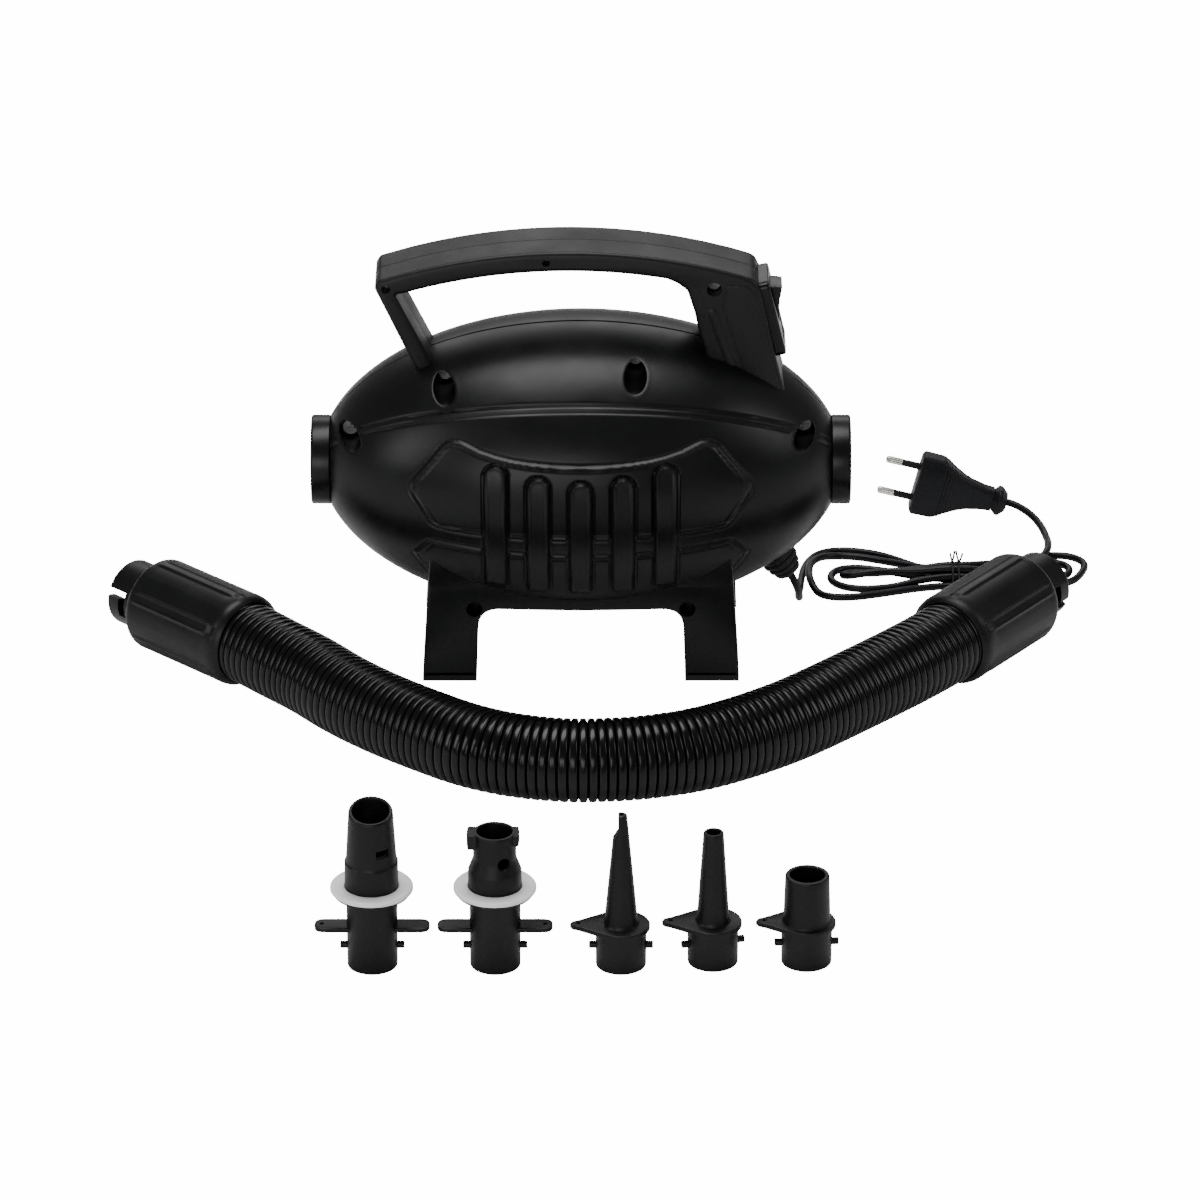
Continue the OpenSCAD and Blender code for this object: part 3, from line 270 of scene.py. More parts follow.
def plate(outline, low, high, edge_low, edge_high, holes=(), steps=4):
    """A flat plate from height low to high, its rims rounded by the edge radius of each face. Each
    hole is (loop, depth from the high face), or (loop, None) for one that goes right through."""
    shares = np.linspace(1, 0, steps + 1)
    rings = []
    for height, shrink in rim(low, edge_low, 1, shares) + rim(high, edge_high, -1, shares[::-1]):
        loop = inset(outline, shrink) if shrink else outline
        rings.append(np.column_stack([loop, np.full(len(loop), height)]))
    verts, faces = grid(np.array(rings))
    verts, faces = [verts], list(faces)
    count = len(verts[0])
    n = len(outline)
    low_loops = [(rings[0], np.arange(n))]
    high_loops = [(rings[-1], np.arange(n) + count - n)]
    for loop, depth in holes:
        m = len(loop)
        bottom = low if depth is None else high - depth
        walls = np.array([np.column_stack([loop, np.full(m, height)]) for height in (high, bottom)])
        part, quads = grid(walls)
        verts.append(part)
        faces.append(quads[0] + count)
        high_loops.append((walls[0], np.arange(m) + count))
        if depth is None:
            low_loops.append((walls[1], np.arange(m) + count + m))
        else:
            faces.append((np.arange(m) + count + m)[None])
        count += 2 * m
    for loops in (low_loops, high_loops):
        tris = tessellate_polygon([[tuple(p) for p in loop] for loop, _ in loops])
        index = np.concatenate([ids for _, ids in loops])
        faces.append(index[np.array(tris)])
    return np.vstack(verts), faces


def walled(outer, inner, keep=None):
    """A wall between two grids of the same size, whose first way goes round: both skins, and a
    strip wherever a kept cell meets a missing one or an open end."""
    nu, nv = outer.shape[:2]
    if keep is None:
        keep = np.ones((nu, nv - 1), dtype=bool)
    ids = np.arange(nu * nv).reshape(nu, nv)
    nxt = np.roll(ids, -1, axis=0)
    cell = np.stack([ids[:, :-1], nxt[:, :-1], nxt[:, 1:], ids[:, 1:]], axis=-1)
    far = nu * nv
    faces = [cell[keep], cell[keep][:, ::-1] + far]
    padded = np.pad(keep, ((0, 0), (1, 1)))
    i, j = np.nonzero(padded[:, :-1] & ~padded[:, 1:])
    a, b = nxt[i, j], ids[i, j]
    faces.append(np.stack([a, b, b + far, a + far], axis=1))
    i, j = np.nonzero(~padded[:, :-1] & padded[:, 1:])
    a, b = ids[i, j], nxt[i, j]
    faces.append(np.stack([a, b, b + far, a + far], axis=1))
    before = np.roll(keep, 1, axis=0)
    for edge in (before & ~keep, ~before & keep):
        i, j = np.nonzero(edge)
        a, b = ids[i, j], ids[i, j + 1]
        faces.append(np.stack([a, b, b + far, a + far], axis=1))
    return np.vstack([outer.reshape(-1, 3), inner.reshape(-1, 3)]), [f for f in faces if len(f)]


def smooth_route(points, spacing):
    """A smooth route: between p1 and p2 it is half of 2 p1 + (p2 - p0) t + (2 p0 - 5 p1 + 4 p2 -
    p3) t squared + (3 p1 - p0 - 3 p2 + p3) t cubed. It is then cut into even steps of its own
    length."""
    p = np.asarray(points, dtype=float)
    q = np.vstack([2 * p[0] - p[1], p, 2 * p[-1] - p[-2]])
    t = np.linspace(0, 1, 24, endpoint=False)[None, :, None]
    a, b, c, d = q[:-3, None], q[1:-2, None], q[2:-1, None], q[3:, None]
    fine = 0.5 * (2 * b + (c - a) * t + (2 * a - 5 * b + 4 * c - d) * t ** 2
                  + (3 * b - a - 3 * c + d) * t ** 3)
    fine = np.vstack([fine.reshape(-1, 3), p[-1:]])
    run = np.concatenate([[0], np.cumsum(np.linalg.norm(np.diff(fine, axis=0), axis=1))])
    at = np.linspace(0, run[-1], max(3, int(round(run[-1] / spacing)) + 1))
    return np.stack([np.interp(at, run, fine[:, k]) for k in range(3)], axis=1), at


def tube(path, radius, sides):
    """A tube: each ring is the path's point plus the radius times (cos a side + sin a up), where
    side is square to the path and level, and up is square to both. Its ends close to a point."""
    heading = np.gradient(path, axis=0)
    heading /= np.linalg.norm(heading, axis=1)[:, None]
    side = np.cross(heading, [0.0, 0.0, 1.0])
    side /= np.maximum(np.linalg.norm(side, axis=1), 1e-6)[:, None]
    up = np.cross(side, heading)
    a = np.linspace(0, 2 * np.pi, sides, endpoint=False)[None, :, None]
    r = np.broadcast_to(radius, len(path))[:, None, None]
    rings = path[:, None] + r * (np.cos(a) * side[:, None] + np.sin(a) * up[:, None])
    ends = [np.repeat(path[k][None, None], sides, axis=1) for k in (0, -1)]
    return grid(np.vstack([ends[0], rings, ends[1]]))


def signed_distance(x, y, loop):
    """Distance from each (x, y) to a closed outline, less than nothing inside it: the least
    distance to any side, with the sign from how many sides a level line crosses."""
    best = np.full(x.shape, np.inf)
    inside = np.zeros(x.shape, dtype=bool)
    for (ax, ay), (bx, by) in zip(loop, np.roll(loop, -1, axis=0)):
        dx, dy = bx - ax, by - ay
        t = np.clip(((x - ax) * dx + (y - ay) * dy) / max(dx * dx + dy * dy, 1e-9), 0, 1)
        best = np.minimum(best, np.hypot(x - ax - t * dx, y - ay - t * dy))
        if ay != by:
            inside ^= ((ay > y) != (by > y)) & (x < dx * (y - ay) / dy + ax)
    return np.where(inside, -best, best)


def make_piece(name, parts, slot, body, replaces, sharp=34.0):
    """Joins parts into one mesh in metres: doubles merged, faces turned outwards, edges sharper
    than the given angle left crisp. The piece takes its slot's finish, rides on its body and
    stands for CAD nodes."""
    verts, faces, count = [], [], 0
    for part_verts, part_faces in parts:
        verts.append(part_verts)
        faces += [f + count for f in part_faces]
        count += len(part_verts)
    sizes = np.concatenate([np.full(len(f), f.shape[1]) for f in faces])
    corners = np.concatenate([f.ravel() for f in faces]).astype(np.int32)
    starts = np.concatenate([[0], np.cumsum(sizes)[:-1]]).astype(np.int32)
    mesh = bpy.data.meshes.new(name)
    mesh.vertices.add(count)
    mesh.vertices.foreach_set("co", (np.vstack(verts) * MM).astype(np.float32).ravel())
    mesh.loops.add(len(corners))
    mesh.loops.foreach_set("vertex_index", corners)
    mesh.polygons.add(len(sizes))
    mesh.polygons.foreach_set("loop_start", starts)
    mesh.update(calc_edges=True)
    work = bmesh.new()
    work.from_mesh(mesh)
    bmesh.ops.remove_doubles(work, verts=work.verts, dist=MERGE_DISTANCE)
    bmesh.ops.recalc_face_normals(work, faces=work.faces)
    work.to_mesh(mesh)
    work.free()
    mesh.polygons.foreach_set("use_smooth", np.ones(len(mesh.polygons), dtype=bool))
    mesh.set_sharp_from_angle(angle=math.radians(sharp))
    mesh.materials.append(make_material(slot))
    piece = bpy.data.objects.new(name, mesh)
    bpy.context.scene.collection.objects.link(piece)
    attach(piece, body)
    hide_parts(*replaces)
    return piece


# ================= materials =================

def moulded_plastic(name, colour, roughness, grain=1500.0, depth=0.00005, level=0.23):
    """Injection-moulded plastic: a fine pebble grain, soft clouds in its gloss, paler worn
    edges."""
    edge_wear = 0.004
    material = bpy.data.materials.new(name)
    material.use_nodes = True
    nodes, links = material.node_tree.nodes, material.node_tree.links
    nodes.clear()
    out = nodes.new("ShaderNodeOutputMaterial")
    out.label, out.location = "Surface", (900, 0)
    shader = nodes.new("ShaderNodeBsdfPrincipled")
    shader.label, shader.location = "Plastic", (620, 0)
    colour_frame = nodes.new("NodeFrame")
    colour_frame.label = "Colour and edge wear"
    gloss_frame = nodes.new("NodeFrame")
    gloss_frame.label = "Gloss clouds"
    grain_frame = nodes.new("NodeFrame")
    grain_frame.label = "Moulded grain"
    coords = nodes.new("ShaderNodeTexCoord")
    coords.label, coords.location = "Place on the part", (-700, 0)

    clouds = nodes.new("ShaderNodeTexNoise")
    clouds.label, clouds.location, clouds.parent = "Flow clouds", (-420, 120), gloss_frame
    clouds.inputs["Scale"].default_value = 38.0
    clouds.inputs["Detail"].default_value = 4.0
    gloss = nodes.new("ShaderNodeMapRange")
    gloss.label, gloss.location, gloss.parent = "Roughness range", (-160, 120), gloss_frame
    gloss.inputs["From Min"].default_value = 0.3
    gloss.inputs["From Max"].default_value = 0.7
    gloss.inputs["To Min"].default_value = roughness - 0.05
    gloss.inputs["To Max"].default_value = roughness + 0.06

    shape = nodes.new("ShaderNodeNewGeometry")
    shape.label, shape.location, shape.parent = "Edges stand out", (-420, 420), colour_frame
    edges = nodes.new("ShaderNodeMapRange")
    edges.label, edges.location, edges.parent = "Only sharp edges", (-160, 420), colour_frame
    edges.inputs["From Min"].default_value = 0.53
    edges.inputs["From Max"].default_value = 0.62
    tone = nodes.new("ShaderNodeMix")
    tone.data_type = "RGBA"
    tone.label, tone.location, tone.parent = "Plastic to worn edge", (120, 420), colour_frame
    tone.inputs["A"].default_value = (*colour, 1.0)
    tone.inputs["B"].default_value = (*[c + edge_wear for c in colour], 1.0)

    pebbles = nodes.new("ShaderNodeTexVoronoi")
    pebbles.label, pebbles.location, pebbles.parent = "Pebble grain", (-420, -220), grain_frame
    pebbles.inputs["Scale"].default_value = grain
    rough_noise = nodes.new("ShaderNodeTexNoise")
    rough_noise.label, rough_noise.location = "Uneven grain", (-420, -480)
    rough_noise.parent = grain_frame
    rough_noise.inputs["Scale"].default_value = grain * 0.55
    rough_noise.inputs["Detail"].default_value = 3.0
    blend = nodes.new("ShaderNodeMath")
    blend.operation = "ADD"
    blend.label, blend.location, blend.parent = "Grain height", (-160, -300), grain_frame
    relief_node = nodes.new("ShaderNodeBump")
    relief_node.label, relief_node.location = "Grain relief", (120, -300)
    relief_node.parent = grain_frame
    relief_node.inputs["Strength"].default_value = 0.28
    relief_node.inputs["Distance"].default_value = depth

    shader.inputs["IOR"].default_value = 1.49
    shader.inputs["Specular IOR Level"].default_value = level
    links.new(coords.outputs["Object"], clouds.inputs["Vector"])
    links.new(coords.outputs["Object"], pebbles.inputs["Vector"])
    links.new(coords.outputs["Object"], rough_noise.inputs["Vector"])
    links.new(clouds.outputs["Fac"], gloss.inputs["Value"])
    links.new(gloss.outputs["Result"], shader.inputs["Roughness"])
    links.new(shape.outputs["Pointiness"], edges.inputs["Value"])
    links.new(edges.outputs["Result"], tone.inputs["Factor"])
    links.new(tone.outputs["Result"], shader.inputs["Base Color"])
    links.new(pebbles.outputs["Distance"], blend.inputs[0])
    links.new(rough_noise.outputs["Fac"], blend.inputs[1])
    links.new(blend.outputs["Value"], relief_node.inputs["Height"])
    links.new(relief_node.outputs["Normal"], shader.inputs["Normal"])
    links.new(shader.outputs["BSDF"], out.inputs["Surface"])
    return material


def soft_rubber(name, colour, roughness, sheen=0.08):
    """Soft rubber or cord jacket: dusty clouds of colour, tiny pits, a faint sheen."""
    material = bpy.data.materials.new(name)
    material.use_nodes = True
    nodes, links = material.node_tree.nodes, material.node_tree.links
    nodes.clear()
    out = nodes.new("ShaderNodeOutputMaterial")
    out.label, out.location = "Surface", (900, 0)
    shader = nodes.new("ShaderNodeBsdfPrincipled")
    shader.label, shader.location = "Rubber", (620, 0)
    dust_frame = nodes.new("NodeFrame")
    dust_frame.label = "Dust and colour"
    pit_frame = nodes.new("NodeFrame")
    pit_frame.label = "Skin"
    coords = nodes.new("ShaderNodeTexCoord")
    coords.label, coords.location = "Place on the part", (-700, 0)
    dust = nodes.new("ShaderNodeTexNoise")
    dust.label, dust.location, dust.parent = "Dust clouds", (-420, 260), dust_frame
    dust.inputs["Scale"].default_value = 120.0
    dust.inputs["Detail"].default_value = 6.0
    ramp = nodes.new("ShaderNodeValToRGB")
    ramp.label, ramp.location, ramp.parent = "Clean to dusty", (-140, 260), dust_frame
    ramp.color_ramp.elements[0].position = 0.42
    ramp.color_ramp.elements[0].color = (*colour, 1.0)
    ramp.color_ramp.elements[1].position = 0.82
    ramp.color_ramp.elements[1].color = (*[c * 1.4 + 0.0015 for c in colour], 1.0)
    gloss = nodes.new("ShaderNodeMapRange")
    gloss.label, gloss.location, gloss.parent = "Roughness range", (-140, 20), dust_frame
    gloss.inputs["To Min"].default_value = roughness - 0.06
    gloss.inputs["To Max"].default_value = roughness + 0.08
    pits = nodes.new("ShaderNodeTexNoise")
    pits.label, pits.location, pits.parent = "Fine pits", (-420, -240), pit_frame
    pits.inputs["Scale"].default_value = 1900.0
    pits.inputs["Detail"].default_value = 2.0
    relief_node = nodes.new("ShaderNodeBump")
    relief_node.label, relief_node.location = "Pit depth", (-140, -240)
    relief_node.parent = pit_frame
    relief_node.inputs["Strength"].default_value = 0.2
    relief_node.inputs["Distance"].default_value = 0.00004
    shader.inputs["Sheen Weight"].default_value = sheen
    shader.inputs["Specular IOR Level"].default_value = 0.22
    links.new(coords.outputs["Object"], dust.inputs["Vector"])
    links.new(coords.outputs["Object"], pits.inputs["Vector"])
    links.new(dust.outputs["Fac"], ramp.inputs["Fac"])
    links.new(dust.outputs["Fac"], gloss.inputs["Value"])
    links.new(ramp.outputs["Color"], shader.inputs["Base Color"])
    links.new(gloss.outputs["Result"], shader.inputs["Roughness"])
    links.new(pits.outputs["Fac"], relief_node.inputs["Height"])
    links.new(relief_node.outputs["Normal"], shader.inputs["Normal"])
    links.new(shader.outputs["BSDF"], out.inputs["Surface"])
    return material


def worked_metal(name, colour, roughness, bands=2500.0, direction="X"):
    """Plated, turned or ground metal: fine lines across one direction, and handling marks in its
    gloss."""
    material = bpy.data.materials.new(name)
    material.use_nodes = True
    nodes, links = material.node_tree.nodes, material.node_tree.links
    nodes.clear()
    out = nodes.new("ShaderNodeOutputMaterial")
    out.label, out.location = "Surface", (900, 0)
    shader = nodes.new("ShaderNodeBsdfPrincipled")
    shader.label, shader.location = "Metal", (620, 0)
    line_frame = nodes.new("NodeFrame")
    line_frame.label = "Tool lines"
    mark_frame = nodes.new("NodeFrame")
    mark_frame.label = "Handling marks"
    coords = nodes.new("ShaderNodeTexCoord")
    coords.label, coords.location = "Place on the part", (-700, 0)
    lines = nodes.new("ShaderNodeTexWave")
    lines.bands_direction = direction
    lines.label, lines.location, lines.parent = "Fine lines", (-420, -200), line_frame
    lines.inputs["Scale"].default_value = bands
    lines.inputs["Distortion"].default_value = 1.4
    lines.inputs["Detail"].default_value = 2.0
    relief_node = nodes.new("ShaderNodeBump")
    relief_node.label, relief_node.location = "Line depth", (-140, -200)
    relief_node.parent = line_frame
    relief_node.inputs["Strength"].default_value = 0.25
    relief_node.inputs["Distance"].default_value = 0.00004
    marks = nodes.new("ShaderNodeTexNoise")
    marks.label, marks.location, marks.parent = "Marks", (-420, 160), mark_frame
    marks.inputs["Scale"].default_value = 260.0
    marks.inputs["Detail"].default_value = 5.0
    gloss = nodes.new("ShaderNodeMapRange")
    gloss.label, gloss.location, gloss.parent = "Roughness range", (-140, 60), mark_frame
    gloss.inputs["To Min"].default_value = roughness - 0.08
    gloss.inputs["To Max"].default_value = roughness + 0.12
    tint = nodes.new("ShaderNodeValToRGB")
    tint.label, tint.location, tint.parent = "Tarnish", (-140, 320), mark_frame
    tint.color_ramp.elements[0].color = (*[c * 0.72 for c in colour], 1.0)
    tint.color_ramp.elements[0].position = 0.3
    tint.color_ramp.elements[1].color = (*colour, 1.0)
    tint.color_ramp.elements[1].position = 0.55
    shader.inputs["Metallic"].default_value = 1.0
    links.new(coords.outputs["Object"], lines.inputs["Vector"])
    links.new(coords.outputs["Object"], marks.inputs["Vector"])
    links.new(lines.outputs["Fac"], relief_node.inputs["Height"])
    links.new(marks.outputs["Fac"], gloss.inputs["Value"])
    links.new(marks.outputs["Fac"], tint.inputs["Fac"])
    links.new(tint.outputs["Color"], shader.inputs["Base Color"])
    links.new(gloss.outputs["Result"], shader.inputs["Roughness"])
    links.new(relief_node.outputs["Normal"], shader.inputs["Normal"])
    links.new(shader.outputs["BSDF"], out.inputs["Surface"])
    return material


def banded_stack(name, dark, light, bands, metallic, roughness):
    """Sheets or wires packed side by side along X: dark gaps between bright bands, with relief."""
    material = bpy.data.materials.new(name)
    material.use_nodes = True
    nodes, links = material.node_tree.nodes, material.node_tree.links
    nodes.clear()
    out = nodes.new("ShaderNodeOutputMaterial")
    out.label, out.location = "Surface", (900, 0)
    shader = nodes.new("ShaderNodeBsdfPrincipled")
    shader.label, shader.location = "Stack", (620, 0)
    band_frame = nodes.new("NodeFrame")
    band_frame.label = "Bands"
    coords = nodes.new("ShaderNodeTexCoord")
    coords.label, coords.location = "Place on the part", (-700, 0)
    wave = nodes.new("ShaderNodeTexWave")
    wave.bands_direction = "X"
    wave.label, wave.location, wave.parent = "Sheets or wires", (-420, 0), band_frame
    wave.inputs["Scale"].default_value = bands
    wave.inputs["Distortion"].default_value = 0.3
    ramp = nodes.new("ShaderNodeValToRGB")
    ramp.label, ramp.location, ramp.parent = "Gap to face", (-140, 160), band_frame
    ramp.color_ramp.elements[0].color = (*dark, 1.0)
    ramp.color_ramp.elements[1].color = (*light, 1.0)
    ramp.color_ramp.elements[1].position = 0.45
    relief_node = nodes.new("ShaderNodeBump")
    relief_node.label, relief_node.location = "Band depth", (-140, -160)
    relief_node.parent = band_frame
    relief_node.inputs["Strength"].default_value = 0.6
    relief_node.inputs["Distance"].default_value = 0.0002
    shader.inputs["Metallic"].default_value = metallic
    shader.inputs["Roughness"].default_value = roughness
    links.new(coords.outputs["Object"], wave.inputs["Vector"])
    links.new(wave.outputs["Fac"], ramp.inputs["Fac"])
    links.new(wave.outputs["Fac"], relief_node.inputs["Height"])
    links.new(ramp.outputs["Color"], shader.inputs["Base Color"])
    links.new(relief_node.outputs["Normal"], shader.inputs["Normal"])
    links.new(shader.outputs["BSDF"], out.inputs["Surface"])
    return material


def milky_ring(name, colour):
    """Milky soft plastic: light sinks in and scatters, with faint clouds and a smooth skin."""
    material = bpy.data.materials.new(name)
    material.use_nodes = True
    nodes, links = material.node_tree.nodes, material.node_tree.links
    nodes.clear()
    out = nodes.new("ShaderNodeOutputMaterial")
    out.label, out.location = "Surface", (900, 0)
    shader = nodes.new("ShaderNodeBsdfPrincipled")
    shader.label, shader.location = "Milky plastic", (620, 0)
    cloud_frame = nodes.new("NodeFrame")
    cloud_frame.label = "Clouds"
    coords = nodes.new("ShaderNodeTexCoord")
    coords.label, coords.location = "Place on the part", (-700, 0)
    clouds = nodes.new("ShaderNodeTexNoise")
    clouds.label, clouds.location, clouds.parent = "Milky clouds", (-420, 0), cloud_frame
    clouds.inputs["Scale"].default_value = 90.0
    ramp = nodes.new("ShaderNodeValToRGB")
    ramp.label, ramp.location, ramp.parent = "Cloud tint", (-140, 100), cloud_frame
    ramp.color_ramp.elements[0].color = (*[c * 0.93 for c in colour], 1.0)
    ramp.color_ramp.elements[1].color = (*colour, 1.0)
    skin = nodes.new("ShaderNodeTexNoise")
    skin.label, skin.location, skin.parent = "Skin", (-420, -260), cloud_frame
    skin.inputs["Scale"].default_value = 1400.0
    relief_node = nodes.new("ShaderNodeBump")
    relief_node.label, relief_node.location = "Skin depth", (-140, -220)
    relief_node.parent = cloud_frame
    relief_node.inputs["Strength"].default_value = 0.15
    relief_node.inputs["Distance"].default_value = 0.00004
    shader.inputs["Roughness"].default_value = 0.42
    shader.inputs["Subsurface Weight"].default_value = 0.35
    shader.inputs["Subsurface Radius"].default_value = (0.004, 0.004, 0.0036)
    shader.inputs["Subsurface Scale"].default_value = 1.0
    links.new(coords.outputs["Object"], clouds.inputs["Vector"])
    links.new(coords.outputs["Object"], skin.inputs["Vector"])
    links.new(clouds.outputs["Fac"], ramp.inputs["Fac"])
    links.new(ramp.outputs["Color"], shader.inputs["Base Color"])
    links.new(skin.outputs["Fac"], relief_node.inputs["Height"])
    links.new(relief_node.outputs["Normal"], shader.inputs["Normal"])
    links.new(shader.outputs["BSDF"], out.inputs["Surface"])
    return material


def shade(colour, share):
    """A colour made darker or lighter: each channel times the share."""
    return tuple(channel * share for channel in colour)


def make_material(slot):
    """The finished material of one of the record's slots, made once and then looked up by its
    name."""
    name = slot + "_finish"
    if name in bpy.data.materials:
        return bpy.data.materials[name]
    looks = bpy.context.scene.pump_looks
    black = tuple(looks.plastic_colour)
    cord = tuple(looks.cord_colour)
    rough = looks.plastic_roughness
    finishes = {
        "shell_plastic": (moulded_plastic, black, rough),
        "handle_plastic": (moulded_plastic, shade(black, 1.2), rough + 0.1, 1300.0, 0.00006, 0.26),
        "collar_plastic": (moulded_plastic, black, rough - 0.02),
        "cuff_plastic": (moulded_plastic, black, rough + 0.03),
        "nozzle_plastic": (moulded_plastic, shade(black, 0.9), rough + 0.1, 1200.0, 0.00007),
        "hose_plastic": (moulded_plastic, shade(black, 0.75), rough - 0.12, 1700.0, 0.00002),
        "switch_plastic": (moulded_plastic, shade(black, 0.7), rough - 0.08, 1800.0, 0.00003),
        "inner_plastic": (moulded_plastic, (0.06, 0.06, 0.062), 0.5),
        "impeller_plastic": (moulded_plastic, (0.72, 0.72, 0.68), 0.45),
        "brush_board": (moulded_plastic, (0.3, 0.16, 0.06), 0.5, 700.0, 0.0001),
        "pad_rubber": (soft_rubber, (0.014, 0.014, 0.014), 0.62),
        "gland_rubber": (soft_rubber, (0.013, 0.013, 0.015), 0.5),
        "mount_rubber": (soft_rubber, (0.02, 0.02, 0.02), 0.7),
        "cord_pvc": (soft_rubber, cord, 0.36, 0.0),
        "plug_pvc": (soft_rubber, shade(cord, 1.1), 0.42, 0.02),
        "pin_sleeve": (soft_rubber, (0.012, 0.012, 0.014), 0.4, 0.0),
        "tie_plastic": (soft_rubber, (0.012, 0.012, 0.012), 0.45, 0.0),
        "wire_skin": (soft_rubber, (0.35, 0.03, 0.025), 0.4, 0.0),
        "carbon": (soft_rubber, (0.03, 0.03, 0.032), 0.55, 0.0),
        "gasket_white": (milky_ring, tuple(looks.gasket_colour)),
        "screw_steel": (worked_metal, (0.2, 0.2, 0.21), 0.36, 1800.0, "Z"),
        "bolt_steel": (worked_metal, (0.6, 0.6, 0.62), 0.3, 2200.0),
        "shaft_steel": (worked_metal, (0.75, 0.75, 0.77), 0.2, 4000.0),
        "pin_metal": (worked_metal, (0.82, 0.8, 0.74), 0.2, 5200.0),
        "terminal_brass": (worked_metal, (0.78, 0.58, 0.26), 0.3, 2600.0),
        "bracket_alloy": (worked_metal, (0.6, 0.61, 0.63), 0.45, 600.0, "DIAGONAL"),
        "commutator_copper": (worked_metal, (0.75, 0.42, 0.24), 0.26, 3600.0),
        "core_steel": (banded_stack, (0.06, 0.06, 0.065), (0.4, 0.41, 0.43), 1000.0, 1.0, 0.42),
        "copper_wire": (banded_stack, (0.12, 0.03, 0.01), (0.72, 0.3, 0.1), 620.0, 0.8, 0.3),
    }
    maker, *settings = finishes[slot]
    return maker(name, *settings)


# ================= sizes and colours a user may change =================

class PumpBodySizes(bpy.types.PropertyGroup):
    """Sizes of the body's mouldings."""
    rib_height: bpy.props.FloatProperty(
        name="Rib height", description="How far the five ribs stand out of the body",
        default=0.0021, min=0.0, max=0.004, unit="LENGTH")
    panel_height: bpy.props.FloatProperty(
        name="Panel height", description="How far the framed panels stand out of the body",
        default=0.0007, min=0.0, max=0.002, unit="LENGTH")
    line_depth: bpy.props.FloatProperty(
        name="Line depth", description="Depth of the moulded lines round the panels and along the ridge",
        default=0.00065, min=0.0, max=0.0015, unit="LENGTH")
    recess_depth: bpy.props.FloatProperty(
        name="Leg screw recess", description="Depth of the screw recesses in the front legs",
        default=0.012, min=0.002, max=0.02, unit="LENGTH")


class PumpHandleSizes(bpy.types.PropertyGroup):
    """Sizes of the handle's rounding and seams."""
    edge_radius: bpy.props.FloatProperty(
        name="Edge radius", description="Radius of the handle's long edges",
        default=0.0024, min=0.0005, max=0.004, unit="LENGTH")
    seam: bpy.props.FloatProperty(
        name="Seam", description="Chamfer on each side of the parting line",
        default=0.0004, min=0.0001, max=0.001, unit="LENGTH")


class PumpHoseSizes(bpy.types.PropertyGroup):
    """Sizes of the corrugated hose."""
    diameter: bpy.props.FloatProperty(
        name="Diameter", description="Outer diameter over the ridges",
        default=0.0425, min=0.03, max=0.0425, unit="LENGTH")
    pitch: bpy.props.FloatProperty(
        name="Pitch", description="Distance from one ridge to the next",
        default=0.0044, min=0.003, max=0.008, unit="LENGTH")
    depth: bpy.props.FloatProperty(
        name="Depth", description="Depth of the furrows between the ridges",
        default=0.0021, min=0.0005, max=0.003, unit="LENGTH")


class PumpCordSizes(bpy.types.PropertyGroup):
    """Size of the mains cord."""
    diameter: bpy.props.FloatProperty(
        name="Diameter", description="Outer diameter of the round mains cord",
        default=0.004, min=0.003, max=0.0044, unit="LENGTH")


class PumpLooks(bpy.types.PropertyGroup):
    """Colours and gloss."""
    plastic_colour: bpy.props.FloatVectorProperty(
        name="Plastic", description="Colour of the black mouldings", subtype="COLOR",
        size=3, default=(0.0022, 0.0022, 0.0023), min=0.0, max=1.0)
    plastic_roughness: bpy.props.FloatProperty(
        name="Plastic roughness", description="How matt the mouldings are",
        default=0.33, min=0.1, max=0.9, subtype="FACTOR")
    cord_colour: bpy.props.FloatVectorProperty(
        name="Cord", description="Colour of the cord and plug", subtype="COLOR",
        size=3, default=(0.002, 0.002, 0.0036), min=0.0, max=1.0)
    gasket_colour: bpy.props.FloatVectorProperty(
        name="Gasket", description="Colour of the two gasket rings", subtype="COLOR",
        size=3, default=(0.86, 0.86, 0.85), min=0.0, max=1.0)
    backdrop_strength: bpy.props.FloatProperty(
        name="Backdrop light", description="How strongly the floor and the backdrop are overlit",
        default=16.0, min=0.5, max=30.0)
    floor_colour: bpy.props.FloatVectorProperty(
        name="Floor", description="Colour of the floor", subtype="COLOR",
        size=3, default=(0.9, 0.9, 0.9), min=0.0, max=1.0)


# ================= shapes of the parts =================

def egg_radius(x):
    """Radius of the egg at x: its half height times the square root of 1 - (x over its half
    length) squared."""
    return EGG_B * np.sqrt(np.clip(1 - (np.asarray(x) / EGG_A) ** 2, 0, None))


def unrolled(points):
    """An outline given as (x, angle in degrees), with the angle turned into millimetres at the
    egg's middle."""
    pts = np.asarray(points, dtype=float)
    return np.column_stack([pts[:, 0], EGG_B * np.radians(pts[:, 1])])


def both_sides(right):
    """A closed outline from its right half, which runs from the top middle to the bottom
    middle."""
    left = [(-x, a) for x, a in reversed(right) if x > 0]
    return list(right) + left


def panel_relief(d, height, line):
    """Height of a framed panel at distance d from its outline: a plateau inside, a bead on the
    outline, and a groove on each side of it, each a bell."""
    return (height * step((0.5 - d) / 1.4) + 0.8 * line * bump(d / 0.7)
            - line * bump((d - 1.75) / 0.7) - 0.8 * line * bump((d + 1.7) / 0.65))


